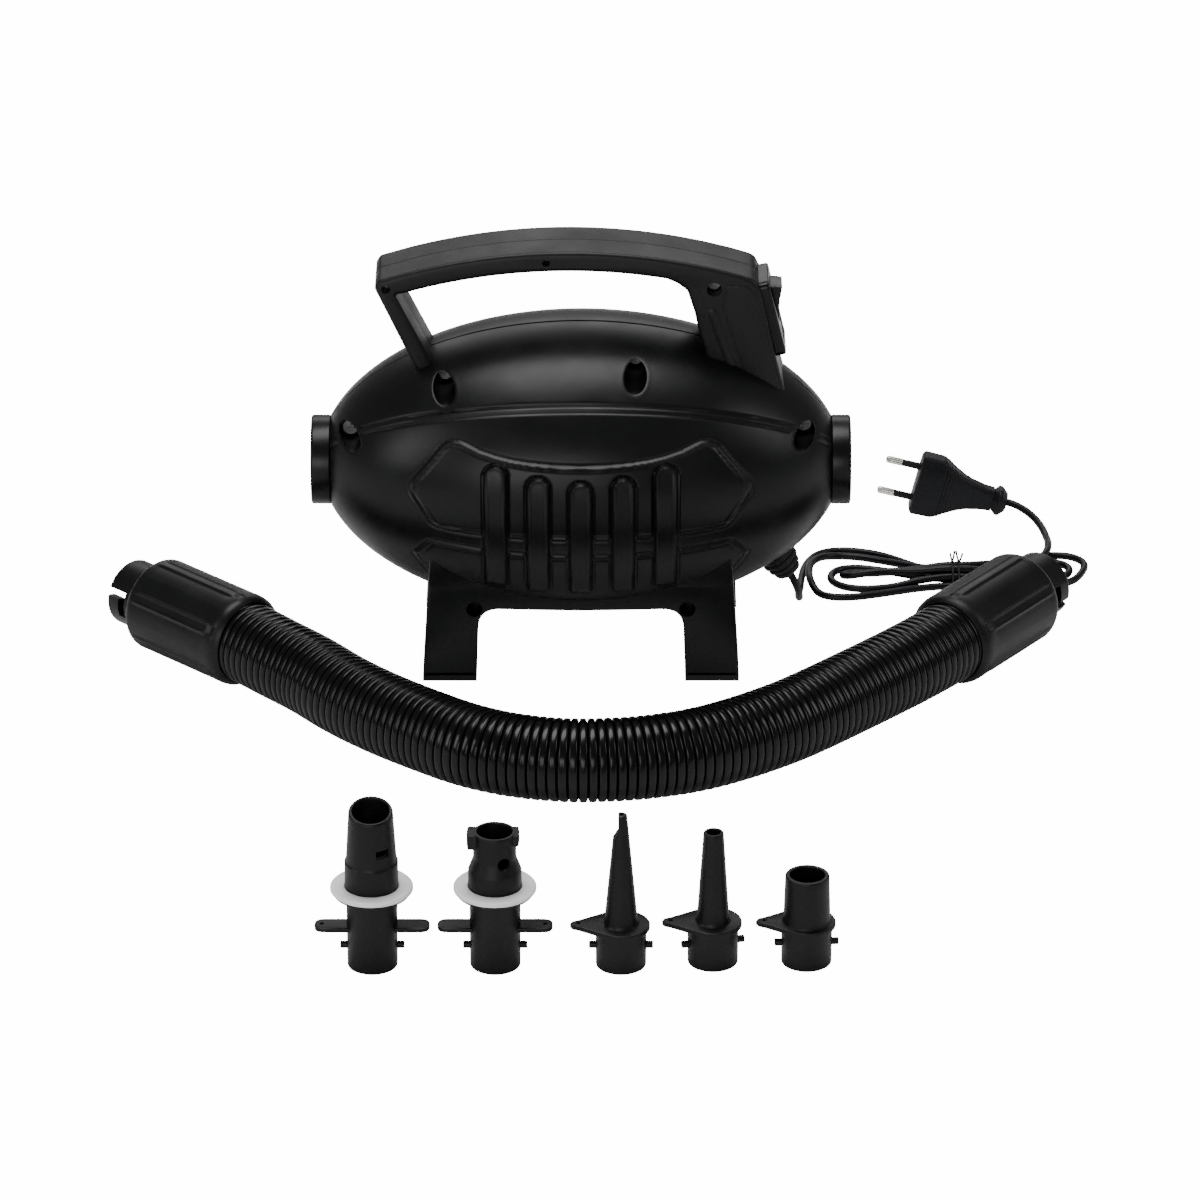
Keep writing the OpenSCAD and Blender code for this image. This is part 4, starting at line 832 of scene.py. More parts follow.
def shell_relief(x, angle, radius, sizes):
    """Height of everything moulded onto a shell: the ridge band, two framed panels and five ribs.
    A rib is a round-ended bar that takes the place of what lies under it and fades out at its
    foot."""
    line = sizes.line_depth / MM
    w = EGG_B * angle
    upper = rounded(unrolled(both_sides([
        (0, 20.8), (10, 20.95), (18, 21.4), (27, 22.1), (36, 23.2), (44, 24.8), (52, 27), (67, 33.5),
        (88.4, 11.2), (75.5, -6.6), (60, -7.2), (0, -7.2)])),
        [0, 0, 0, 0, 0, 0, 0, 10, 13, 6, 0, 0] + [0, 6, 13, 10, 0, 0, 0, 0, 0, 0], 8)
    lower = rounded(unrolled(both_sides([
        (0, -15.6), (77, -15.8), (85.5, -27.5), (71, -49), (0, -49)])), [0, 4, 5, 3, 0, 3, 5, 4])
    h = panel_relief(signed_distance(x, w, upper), sizes.panel_height / MM, line)
    h += panel_relief(signed_distance(x, w, lower), 0.7 * sizes.panel_height / MM, 0.8 * line)
    foot = EGG_B * math.radians(RIB_LOW)
    for middle, top in RIBS:
        head = EGG_B * math.radians(top) - RIB_HALF
        d = np.hypot(x - middle, np.maximum(w - head, 0)) - RIB_HALF
        fade = step((w - foot + 3) / 9.0)
        bar = (sizes.rib_height / MM * step((0.5 - d) / 1.9) - 1.1 * line * bump((d - 1.25) / 0.6)
               + 0.5 * line * bump((d + 1.2) / 0.7))
        cover = step((1.9 - d) / 1.4) * fade
        h = h * (1 - cover) + bar * cover
    s = (angle - RIDGE_ANGLE) * radius
    ridge = (0.9 * line * bump(s / 0.85) - 1.1 * line * bump((s - 2.4) / 0.75)
             - 0.7 * line * bump((s + 2.1) / 0.55))
    z = AXIS_Z + radius * np.sin(angle)
    for hole_x, hole_z, r in RECESSES:
        ridge = ridge * step((np.hypot(x - hole_x, z - hole_z) - r - 1.0) / 2.0)
    seam = (math.pi / 2 - np.abs(angle)) * radius
    return h + ridge - 0.45 * (1 - step(seam / 0.55))


def shell_skin(sizes, plain):
    """One half of the egg: at x and angle a the point is (x, -r cos a, axis + r sin a), r being
    the egg's radius plus the relief. A coarser inner skin, a wall's thickness in, is joined to it
    by strips of many-sided faces. Unless it is plain, both skins are left out where the screw
    recesses go through."""
    end_x = np.linspace(92, END_X, 27)[1:]
    x = np.concatenate([-end_x[::-1], np.linspace(-92, 92, 263), end_x])
    fine = np.concatenate([np.arange(-48.0, 48.01, 0.45), np.arange(48.6, 68, 0.62)])
    ends = np.array([50, 54, 58, 62, 66, 70, 74, 78, 82, 85, 87, 88.4, 89.1, 89.5, 89.75, 89.97])
    angle = np.radians(np.concatenate([-ends[::-1], fine, ends[5:]]))
    gx, ga = np.meshgrid(x, angle, indexing="ij")
    base = egg_radius(gx)
    r = base + shell_relief(gx, ga, base, sizes)
    outer = np.stack([gx, -r * np.cos(ga) - SEAM_GAP, AXIS_Z + r * np.sin(ga)], axis=-1)
    cols = np.append(np.arange(0, len(x) - 1, INNER_STRIDE), len(x) - 1)
    rows = np.append(np.arange(0, len(angle) - 1, INNER_STRIDE), len(angle) - 1)
    ri = np.maximum(egg_radius(gx) - WALL, NECK_R)[np.ix_(cols, rows)]
    ai, xi = ga[np.ix_(cols, rows)], gx[np.ix_(cols, rows)]
    inner = np.stack([xi, -ri * np.cos(ai) - SEAM_GAP, AXIS_Z + ri * np.sin(ai)], axis=-1)
    middle = 0.25 * (inner[:-1, :-1] + inner[1:, :-1] + inner[1:, 1:] + inner[:-1, 1:])
    bored = np.zeros(middle.shape[:2], dtype=bool)
    hidden = np.zeros(gx.shape, dtype=bool)
    if not plain:
        for hole_x, hole_z, hole_r in RECESSES:
            off_axis = np.hypot(middle[..., 0] - hole_x, middle[..., 2] - hole_z)
            bored |= off_axis < hole_r + INNER_CLEAR
            off_axis = np.hypot(outer[..., 0] - hole_x, outer[..., 2] - hole_z)
            hidden |= (off_axis < hole_r + LIP_OVERLAP) & (outer[..., 1] < 0)
    index = np.arange(gx.size).reshape(gx.shape)
    cell = np.stack([index[:-1, :-1], index[1:, :-1], index[1:, 1:], index[:-1, 1:]], axis=-1)
    gone = hidden[:-1, :-1] & hidden[1:, :-1] & hidden[1:, 1:] & hidden[:-1, 1:]
    far = np.arange(inner[..., 0].size).reshape(inner.shape[:2]) + gx.size
    inner_cell = np.stack([far[:-1, :-1], far[:-1, 1:], far[1:, 1:], far[1:, :-1]], axis=-1)
    faces = [cell[~gone], inner_cell[~bored]]
    for k in (0, -1):
        faces += [np.append(index[a:b + 1, k], [far[n + 1, k], far[n, k]])[None]
                  for n, (a, b) in enumerate(zip(cols[:-1], cols[1:]))]
    for k in (0, -1):
        faces += [np.append(index[k, a:b + 1], [far[k, n + 1], far[k, n]])[None]
                  for n, (a, b) in enumerate(zip(rows[:-1], rows[1:]))]
    return np.vstack([outer.reshape(-1, 3), inner.reshape(-1, 3)]), faces


def recess_cup(hole_x, hole_z, r):
    """A screw recess bored straight back into the egg: rings round its axis, first lying on the
    egg, then turning in over a small radius, then running back to the screw's seat, which has a
    hole for the shank."""
    sides, shank_r, shank_long = 72, 2.3, 6.0
    lip = ((2.7, 0.03), (2.0, 0.09), (1.2, 0.1), (0.6, 0.05), (0.25, -0.1), (0.06, -0.35),
           (0.0, -0.8))
    bore = ((r - 0.15, SCREW_SEAT_Y + 0.4), (r - 0.5, SCREW_SEAT_Y), (shank_r, SCREW_SEAT_Y),
            (shank_r, SCREW_SEAT_Y - shank_long))
    a = np.linspace(0, 2 * np.pi, sides, endpoint=False)
    rings = []
    for beyond, lift in lip:
        x, z = hole_x + (r + beyond) * np.cos(a), hole_z + (r + beyond) * np.sin(a)
        depth = np.sqrt(np.maximum(egg_radius(x) ** 2 - (z - AXIS_Z) ** 2, 4.0))
        rings.append(np.stack([x, -(depth + lift), z], axis=1))
    for reach, back in bore:
        rings.append(np.stack([hole_x + reach * np.cos(a), np.full(sides, -back),
                               hole_z + reach * np.sin(a)], axis=1))
    return grid(np.array(rings))


def apron(sizes, plain):
    """Both legs of one side and the skirt between them, as one rounded outline of x and z carried
    along y from the leg's back face to its front face, and a thinner plate over each leg that runs
    up into the egg."""
    skirt_top, root_back, root_inset = 55.5, 46.5, 0.02
    outline = rounded([
        (82, 3), (78.75, skirt_top), (-78.75, skirt_top), (-82, 3), (-54, 3),
        (-52.6, 40.9), (-20, 40.1), (0, 39.8), (20, 40.1), (52.6, 40.9), (54, 3)],
        [0.6, 0, 0, 0.6, 0.6, 11, 0, 0, 0, 11, 0.6], 9)
    deep = sizes.recess_depth / MM
    holes = [] if plain else [(circle(x, z, r), deep) for x, z, r in LEG_RECESSES]
    parts = [upright(plate(outline, LEG_BACK_Y, LEG_Y, 0.6, 1.6, holes, 5))]
    for side in (1, -1):
        root = np.array([(79.24, 47.5), (77.6, 74), (52, 74), (48, 58), (48, 47.5)]) * [side, 1]
        parts.append(upright(plate(root, root_back, LEG_Y - root_inset, 0, 1.6, (), 5)))
    return parts


def handle_outline():
    """Closed outline of the handle in x and z: two round arches about one centre, and two straight
    feet."""
    def arch(x0, x1, r, n):
        x = np.linspace(x0, x1, n)
        return list(zip(x, ARCH_Z + np.sqrt(r * r - (x - ARCH_X) ** 2)))
    outer_points, inner_points = 40, 34
    outer = [(-77, 141), (-105.9, 204.2), (-103.6, 208.2)] + arch(-96, 82, 307.0, outer_points)
    right = [(89.4, 208.6), (92.2, 202.6), (99.5, 169), (105.5, 145), (109, 133), (70, 133),
             (63, 171.5), (61, 178), (58.5, 190), (54.6, 202.6), (49.5, 206.6)]
    inner = arch(44, -90, 296.3, inner_points) + [(-95.2, 200.4), (-66, 141)]
    radii = ([0, 3, 4] + [0] * outer_points + [7, 6, 0, 0, 0, 0, 0, 6, 10, 5, 5]
             + [0] * inner_points + [5, 0])
    return rounded(outer + right + inner, radii, 6)


def handle_half(sizes, screws):
    """Half of the handle: its outline carried along y from the parting line to the front face, a
    raised cover on the switch end, and a rounded column beside it that runs down from the
    screw."""
    parting_gap, cover_foot, cover_proud, column_r = 0.03, 0.8, 0.75, 5.0
    deep = HALF_W - HANDLE_SEAT_Y
    holes = [(circle(x, z, r), deep) for x, z, r in HANDLE_SCREWS] if screws else []
    seam, edge = sizes.seam / MM, sizes.edge_radius / MM
    parts = [upright(plate(handle_outline(), parting_gap, HALF_W, seam, edge, holes, 5))]
    cover = rounded([(74.2, 206.2), (85, 205.6), (89.8, 201.5), (97.2, 169), (103, 145.5),
                     (84.6, 155.5), (72.9, 194.5), (74.2, 200)], [2, 4, 4, 0, 1, 1, 2, 2], 4)
    parts.append(upright(plate(cover, HALF_W - cover_foot, HALF_W + cover_proud, 0, 0.55)))
    t = np.linspace(0, 1, 50)
    path = np.column_stack([66.4 + 11.8 * t, np.full(50, -HALF_W + 4.2), 194.5 - 36.5 * t])
    rounding = np.sqrt(np.clip(1 - (2 * t - 1) ** 16, 0.02, 1))
    parts.append(tube(path, (column_r - 0.3 * t) * rounding, 40))
    return parts


def turned(verts, angle):
    """Points turned about y: with c and s the angle's cosine and sine, x becomes c x - s z and z
    becomes s x + c z."""
    c, s = math.cos(angle), math.sin(angle)
    return verts @ np.array([[c, 0, s], [0, 1, 0], [-s, 0, c]])


def switch_frame(part, tilt=0.0, depth=0.0):
    """Puts a part made with x along the switch face's outward normal, y along y and z up the face
    into place, first turned about y at a depth under the face."""
    return turned(turned(part[0], -tilt) - np.array([depth, 0, 0]), FACE_TILT) + SWITCH_AT, part[1]


def collar():
    """Socket collar along z as a surface of revolution, with two bayonet studs in its bore."""
    profile = rounded([
        (19.2, 126.5), (20.95, 126.5), (20.95, 130.1), (23.2, 130.1), (23.2, 140), (18.6, 140),
        (17.6, 139), (17.6, 132), (18.6, 132), (18.6, 128.4), (19.2, 128.4)],
        [0, 0.3, 0, 0.5, 1.5, 0.7, 0.5, 0.2, 0.2, 0, 0], 5)
    parts = [lathe(profile, 128)]
    stud = lathe(rounded([(0.01, 0), (1.6, 0), (1.6, 4.4), (0.01, 4.4)], [0, 0.4, 0, 0], 3), 24)
    for a in (0.0, math.pi):
        c, s = math.cos(a), math.sin(a)
        parts.append(placed(stud, (c * 14.6, s * 14.6, 130), (-s, c, 0), (0, 0, 1), (c, s, 0)))
    return parts


def along_x(part, sign):
    """A part made along z, laid along the body's axis towards +x or -x."""
    return placed(part, (0, 0, AXIS_Z), (0, 0, sign), (0, 1, 0), (sign, 0, 0))


def gland():
    """Strain relief: a surface of revolution squared off a little, with three deep rings and open
    slots."""
    profile = rounded([
        (2.05, -6.4), (9, -6.4), (9, -4.2), (6.5, -4.2), (6.5, 0.8), (9.9, 0.8), (9.9, 3.6),
        (7.5, 3.6), (7.5, 4.9), (9.3, 4.9), (8.9, 7.3), (6.7, 7.3), (6.7, 8.6), (8.3, 8.6),
        (7.9, 10.8), (5.9, 10.8), (5.9, 12), (7.1, 12), (6.3, 14.6), (2.05, 14.6)],
        [0, 0.4, 0.3, 0, 0, 0.7, 0.5] + [0.3, 0.3, 0.5, 0.5] * 2 + [0.3, 0.3, 0.5, 1.1, 0.4], 3)
    verts, faces = lathe(profile, 96)
    angle = np.arctan2(verts[:, 1], verts[:, 0])
    r = np.hypot(verts[:, 0], verts[:, 1])
    square = 1 + 0.07 * np.cos(4 * angle) * step((verts[:, 2] - 0.5) / 1.0) * step((r - 5) / 2)
    verts = verts * np.stack([square, square, np.ones_like(square)], axis=1)
    s, c = math.sin(GLAND_TURN), math.cos(GLAND_TURN)
    return placed((verts, faces), GLAND_AT, (c, 0, -s), (0, 1, 0), (s, 0, c))


def squared(wave):
    """A superellipse's share of a sine or cosine: its size to the power 0.36, with its sign
    kept."""
    return np.sign(wave) * np.abs(wave) ** 0.36


def plug():
    """Flat two-pin plug: rounded-box sections along x, their half height and half thickness read
    from a profile, the corner being a superellipse; three fine grooves cross it; a flared knob
    ends it."""
    long, front_round, sides = 43.0, 1.6, 96
    x = np.concatenate([np.linspace(0, front_round, 7), np.linspace(1.8, long, 120)])
    half_h = np.interp(x, [0, front_round, 12, 15.5, 19, 22, 26, 30, 38, long],
                       [16.4, 17.5, 17.2, 15.9, 13.4, 11.6, 9.6, 8.2, 6.5, 6.1])
    half_t = np.interp(x, [0, front_round, 14, 22, 30, long], [6.1, 7.0, 6.9, 5.8, 4.7, 4.3])
    back_off = 1 - np.clip(x / front_round, 0, 1)
    round_in = 1.5 * (1 - np.sqrt(np.clip(1 - back_off ** 2, 0, 1)))
    groove = sum(0.4 * bump((x - at) / 0.33) for at in (14.6, 16.4, 18.2))
    half_h, half_t = half_h - round_in * 0.6 - groove, half_t - round_in * 0.6 - groove
    a = np.linspace(0, 2 * np.pi, sides, endpoint=False)
    points = np.stack([x[:, None] + 0 * a, half_t[:, None] * squared(np.cos(a)),
                       half_h[:, None] * squared(np.sin(a))], -1)
    front, back = (np.repeat(np.array([[[end, 0.0, 0.0]]]), sides, axis=1) for end in (0.0, long))
    body = grid(np.vstack([front, points, back]))
    knob = [(0.01, 0), (4.4, 0), (8.4, 3.6), (8.4, 5.4), (5.2, 8.6), (2.1, 8.6), (0.01, 8.6)]
    verts, faces = lathe(rounded(knob, [0, 1, 1, 1, 1, 0, 0], 4), 64)
    angle = np.arctan2(verts[:, 1], verts[:, 0])
    outer_share = step((np.hypot(verts[:, 0], verts[:, 1]) - 5) / 2)
    petal = 1 - 0.1 * outer_share * (0.5 + 0.5 * np.cos(4 * angle))
    verts = verts * np.stack([petal, petal, np.ones_like(petal)], axis=1)
    parts = [body, placed((verts, faces), (long - 1, 0, 0), (0, 1, 0), (0, 0, 1), (1, 0, 0))]
    c, s = math.cos(PLUG_PITCH), math.sin(PLUG_PITCH)
    return [placed(p, PLUG_AT, (c, 0, -s), (0, 1, 0), (s, 0, c)) for p in parts]


def tie_wraps():
    """Thin wire tie: two turns round the hank, each a closed path of short arcs, with their ends
    stood up."""
    near_y, far_y, top, under, wire_r = 49.0, 69.4, 12.0, 0.62, 0.55
    parts = []
    for x, lean in ((TIE_X - 1.6, -1.5), (TIE_X + 1.6, 1.9)):
        points = [
            (x + lean, 57.6, 18.6), (x + 0.5 * lean, 58.2, 15), (x, 59.2, 12.6), (x, 63, top),
            (x, 66.5, 10.2), (x, far_y - 0.6, 6), (x, far_y, 3), (x, far_y - 1.6, 0.9),
            (x, 64, under), (x, 54, under), (x, near_y + 1.6, 0.9), (x, near_y, 3),
            (x, near_y + 0.8, 6), (x, 53.4, 9.6), (x, 57, top), (x, 60, 12.7),
            (x - 0.4 * lean, 61.4, 15), (x - 0.7 * lean, 62, 18)]
        parts.append(tube(smooth_route(points, 0.6)[0], wire_r, 10))
    return parts


def hose_surface(sizes):
    """Corrugated hose: a tube along its route whose radius is the outer radius less a depth that
    is zero on each round-topped ridge and full in each narrow furrow, a power of a sine of the
    run."""
    rings_per_ridge, clearance = 10, 0.02
    depth = sizes.depth / MM
    length = smooth_route(HOSE_ROUTE, 5.0)[1][-1]
    turns = round(length / (sizes.pitch / MM))
    path, run = smooth_route(HOSE_ROUTE, length / (turns * rings_per_ridge))
    wave = np.abs(np.cos(np.pi * run * turns / run[-1]))
    furrow = depth * (1 - np.sqrt(np.clip(1 - (1 - wave) ** 2.2, 0, 1)))
    return tube(path, sizes.diameter / MM / 2 - clearance - furrow, 72), path, run[-1]


def round_wall(radii, angles, heights):
    """Points round the z axis: (r cos a, r sin a, z) on a grid."""
    return np.stack([radii * np.cos(angles), radii * np.sin(angles), heights], axis=-1)


def cuff():
    """Hose cuff along z, its outer face at 0. The sleeve's radius is a round base, slightly
    flattened between six double ridges; the bayonet tube is a wall with two J-shaped slots left
    out of it."""
    sleeve_r, spigot_r, bore_r, sector = 24.6, 17.4, 12.5, math.pi / 3
    z = np.concatenate([[0.0, 0.4, 1.0, 1.8, 2.8, 3.8], np.linspace(4.6, 64.5, 42),
                        [65.5, 66.5, 67.5, 68.4, 69.2, 69.7, 70.0]])
    a = np.linspace(0, 2 * np.pi, 288, endpoint=False)
    gz, ga = np.meshgrid(z, a, indexing="ij")
    rim_z = [0, 0.4, 1.0, 1.8, 2.8, 3.8, 5, 64.5, 66.5, 68.4, 69.4, 70]
    rim_r = [20.6, 21.4, 22.4, 23.3, 24.0, 24.4, sleeve_r, sleeve_r, 24.3, 23.5, 22.7, 22.1]
    near = (ga + sector / 2) % sector - sector / 2
    s = sleeve_r * near
    along = step((gz - 4.5) / 4) * step((62 - gz) / 3)
    ridge = (0.85 * (bump((s - 2.7) / 0.75) + bump((s + 2.7) / 0.75))
             + 0.3 * step((2.7 - np.abs(s)) / 0.8))
    notch = (0.7 * step((2.6 - np.abs(s)) / 0.6)
             * step((gz - 61.5) / 0.8) * step((66.5 - gz) / 1.5))
    flat = 0.5 * (np.cos(near) - math.cos(sector / 2)) / (1 - math.cos(sector / 2))
    hollow = 0.6 * (0.5 - np.abs(flat - 0.5))
    r = np.interp(gz, rim_z, rim_r) + (ridge * along - hollow * along) - notch
    tail = [(21.5, 70), (21.45, 54), (bore_r, 54), (bore_r, 0.5), (bore_r, 0.0), (17.6, 0.0)]
    rings = [round_wall(np.full((1, len(a)), radius), a[None], np.full((1, len(a)), height))
             for radius, height in tail]
    body = grid(np.vstack([round_wall(r, ga, gz)] + rings), wrap_u=True)
    zb = np.concatenate([[-18.6, -18.45, -18.1, -17.6], np.linspace(-17, -10.6, 7),
                         np.linspace(-9.8, -6.0, 5), [-5, -3, 0.6]])
    ab = np.linspace(0, 2 * np.pi, 144, endpoint=False) + math.radians(70)
    gb, hb = np.meshgrid(ab, zb, indexing="ij")
    q = np.clip((-17.6 - hb) / 1.0, 0, 1)
    ease = 1.0 - np.sqrt(np.clip(1 - q * q, 0, 1))
    outer, inner = round_wall(spigot_r - ease, gb, hb), round_wall(bore_r + 0.6 * ease, gb, hb)
    turn = np.degrees(ab[:, None] - ab[0] + math.radians(1.25) + math.radians(7.5)) % 180
    mid = 0.5 * (zb[1:] + zb[:-1])[None]
    gone = ((turn < 15.5) & (mid < -6)) | ((turn < 47.5) & (mid > -10.6) & (mid < -6))
    return [body, walled(outer, inner, ~gone)]


def cuff_axes(heading):
    """A cuff's axes: its x up, its z from the outer face back towards the hose."""
    c, s = math.cos(math.radians(heading)), math.sin(math.radians(heading))
    return (0, 0, 1), (-s, c, 0), (-c, -s, 0)


def pierced_tube(z, r_out, r_in, hole=None, top_shift=None, sides=120):
    """A tube wall from its two radii at each height, the cells where hole(angle, z) is less than
    nothing left out, with the nearest corners drawn onto its rim. top_shift(angle) slants the top
    end."""
    a = np.linspace(-np.pi, np.pi, sides, endpoint=False)
    ga, gz = np.meshgrid(a, z, indexing="ij")
    ro, ri = np.interp(gz, z, r_out), np.interp(gz, z, r_in)
    keep = None
    if hole is not None:
        mid_a, mid_z = a + np.pi / sides, 0.5 * (z[1:] + z[:-1])
        inside = hole(*np.meshgrid(mid_a, mid_z, indexing="ij")) < 0
        touches = np.zeros(ga.shape, dtype=bool)
        touches[:, :-1] |= inside
        touches[:, 1:] |= inside
        touches |= np.roll(touches, 1, axis=0)
        full = np.zeros(ga.shape, dtype=bool)
        full[:, 1:-1] = inside[:, 1:] & inside[:, :-1]
        full &= np.roll(full, 1, axis=0)
        move = touches & ~full
        eps, mean_r = 1e-3, 12.0
        for _ in range(3):
            d = hole(ga, gz)
            da = (hole(ga + eps, gz) - d) / eps
            dz = (hole(ga, gz + eps) - d) / eps
            size = np.maximum(da ** 2 + (dz * mean_r) ** 2, 1e-6)
            ga = np.where(move, ga - d * da / size, ga)
            gz = np.where(move, gz - d * dz * mean_r ** 2 / size, gz)
        keep = ~inside
    lift = 0 if top_shift is None else top_shift(ga) * step((gz - z[0]) / (z[-1] - z[0]))
    return walled(round_wall(ro, ga, gz + lift), round_wall(ri, ga, gz + lift), keep)


def nozzle_base(height, turn):
    """The push-in end of a nozzle: a round tube on the floor, and two pegs across it."""
    wall = [(NOZZLE_R - 0.1, 0), (NOZZLE_R, height), (NOZZLE_BORE, height), (NOZZLE_BORE, 0)]
    parts = [lathe(rounded(wall, [0.8, 0, 0, 0.4], 4), 96)]
    peg = lathe(rounded([(0.01, 11), (1.8, 11), (1.8, 15.5), (0.01, 15.5)], [0, 0, 0.5, 0], 4), 32)
    for a in (math.radians(turn), math.radians(turn + 180)):
        c, s = math.cos(a), math.sin(a)
        parts.append(placed(peg, (0, 0, PEG_Z), (-s, c, 0), (0, 0, 1), (c, s, 0)))
    return parts


def twist_wings(hole_side):
    """Two flat wings as one round-ended plate with a hole near one tip, open round the tube in the
    middle."""
    tip, half_w, thick, hole_at, hole_r, middle_r = 27.8, 5.5, 2.3, 24.2, 1.15, 5.376
    loop = rounded([(-tip, -half_w), (tip, -half_w), (tip, half_w), (-tip, half_w)], [5.2] * 4, 8)
    holes = [(circle(hole_side * hole_at, 0, hole_r, 20), None), (circle(0, 0, middle_r, 32), None)]
    return plate(loop, WING_Z, WING_Z + thick, 0.6, 0.6, holes, 3)


def tether_plate():
    """Round plate with a pointed tab, a small hole in the tab, and the nozzle's bore."""
    disc_r, thick, hole_at, hole_r, bore_r = 14.0, 2.6, -20.4, 1.15, 7.0
    a = np.linspace(math.radians(-118), math.radians(118), 60)
    disc = np.stack([disc_r * np.cos(a), disc_r * np.sin(a)], axis=1)
    tab = [(-20.6, 3.6), (-23.4, 2.4), (-24.6, 0.0), (-23.4, -2.4), (-20.6, -3.6)]
    holes = [(circle(hole_at, 0, hole_r, 20), None), (circle(0, 0, bore_r, 40), None)]
    return plate(np.vstack([disc, tab]), WING_Z, WING_Z + thick, 0.5, 0.7, holes, 3)


def off_angle(a, angle):
    """The angle from one direction to another, between minus and plus half a turn."""
    return (a - angle + np.pi) % (2 * np.pi) - np.pi


def rect_hole(angle, half_w, z_mid, half_h, radius):
    """Signed measure of a rectangle on a tube, negative inside: the greater of its overshoots
    round the tube and along it."""
    def measure(a, z):
        return np.maximum(np.abs(off_angle(a, angle)) * radius - half_w, np.abs(z - z_mid) - half_h)
    return measure


def round_hole(angle, z_mid, hole_r, radius):
    """Signed measure of a round hole on a tube: the distance to its middle, less its radius."""
    def measure(a, z):
        return np.hypot(off_angle(a, angle) * radius, z - z_mid) - hole_r
    return measure


def flange():
    """Thin round flange under the gasket, with a rounded rim."""
    bore_r, flange_r, low, high = 10.2, 18.6, 38.9, 40.4
    return lathe(rounded([(bore_r, low), (flange_r, low), (flange_r, high), (bore_r, high)],
                         [0, 0.6, 0.6, 0], 4), 96)


def boston_parts():
    """Nozzle with wings, a flange, and a tapered tube cut off on a slant with a small window in
    it. The cut's height goes with the sine of the angle."""
    def slant(a):
        return 2.6 + 2.55 * np.sin(a)
    hole = rect_hole(math.radians(-60), 3.4, 64.2, 2.1, 11.6)
    z = np.concatenate([[TALL_BASE, 48, 55.3, 55.9, 57, 59.5], np.linspace(61, 67.4, 12),
                        np.linspace(69, 79.4, 8), [79.9, 80.4]])
    r_out = np.interp(z, [TALL_BASE, 55.3, 56.1, 79.4, 79.9, 80.4],
                      [12.9, 12.9, 12.25, 10.75, 10.6, 10.2])
    r_in = np.interp(z, [TALL_BASE, 79.8, 80.4], [NOZZLE_BORE, 8.9, 9.2])
    wall = pierced_tube(z, r_out, r_in, hole, slant, 144)
    return nozzle_base(TALL_BASE, 0) + [twist_wings(-1), flange(), wall]


def lug_parts():
    """Nozzle with wings, a flange, and a stepped tube that ends in two lugs of unlike size."""
    hole = round_hole(math.radians(-64), 58.5, 3.3, 10.6)
    z = np.concatenate([[TALL_BASE, 46, 51.6, 52.2, 53.6], np.linspace(54.6, 62.4, 14),
                        np.linspace(63.4, 71, 6), [71.6, 72.0]])
    r_out = np.interp(z, [TALL_BASE, 51.6, 57.8, 58.4, 71, 71.6, 72],
                      [12.9, 12.9, 10.6, 10.4, 10.4, 10.25, 9.9])
    r_in = np.interp(z, [TALL_BASE, 71.4, 72], [NOZZLE_BORE, 8.5, 8.8])
    wall = pierced_tube(z, r_out, r_in, hole, None, 144)
    parts = nozzle_base(TALL_BASE, 0) + [twist_wings(1), flange(), wall]
    root, half_w, top = 8.9, 5.4, 71.9
    for s, reach, low in ((-1, 13.5, 64.2), (1, 12.0, 66.0)):
        shoulder = reach * s * 0.96
        corners = [(root * s, -half_w), (shoulder, -half_w), (reach * s, 0), (shoulder, half_w),
                   (root * s, half_w)]
        loop = rounded(corners, [0, 1.2, 6, 1.2, 0], 5)
        parts.append(plate(loop, low, top, 0.8, 0.5, (), 3))
    return parts


def pinch_parts():
    """Nozzle with a tether plate and a slim cone whose tip is cut back in a step on one side: x is
    kept above a cut plane, which moves out smoothly below the step."""
    step_z, tip_cut, tip_wall = 72.0, -1.4, 0.8
    z = np.concatenate([[SHORT_BASE, 22.6, 23.4, 24.2], np.linspace(26, 80.2, 40), [80.7, 81.0]])
    a = np.linspace(0, 2 * np.pi, 96, endpoint=False)
    ga, gz = np.meshgrid(a, z, indexing="ij")
    r = np.interp(gz, [SHORT_BASE, 22.6, 23.4, 24.2, 80.2, 80.7, 81],
                  [9.0, 8.6, 8.2, 8.05, 2.95, 2.75, 2.3])
    cut = np.where(gz > step_z, tip_cut, tip_cut - 6.6 * step((step_z - gz) / 6.0))
    outer = np.stack([np.maximum(r * np.cos(ga), cut), r * np.sin(ga), gz], axis=-1)
    ri = np.interp(gz, [SHORT_BASE, 81], [6.1, 1.3])
    inner = np.stack([np.maximum(ri * np.cos(ga), cut + tip_wall), ri * np.sin(ga), gz], axis=-1)
    return nozzle_base(SHORT_BASE, 0) + [tether_plate(), walled(outer, inner)]


def taper_parts():
    """Nozzle with a tether plate and a plain tapered tube."""
    z = np.concatenate([[SHORT_BASE, 22.6, 23.4, 24.2], np.linspace(28, 69, 12),
                        [69.5, 69.85, 70.0]])
    r = np.interp(z, [SHORT_BASE, 22.6, 23.4, 24.2, 69, 69.5, 69.85, 70],
                  [8.7, 8.3, 7.95, 7.8, 4.95, 4.85, 4.6, 4.3])
    ri = np.interp(z, [SHORT_BASE, 69.6, 70], [6.2, 3.4, 3.7])
    return nozzle_base(SHORT_BASE, 12) + [tether_plate(), pierced_tube(z, r, ri)]


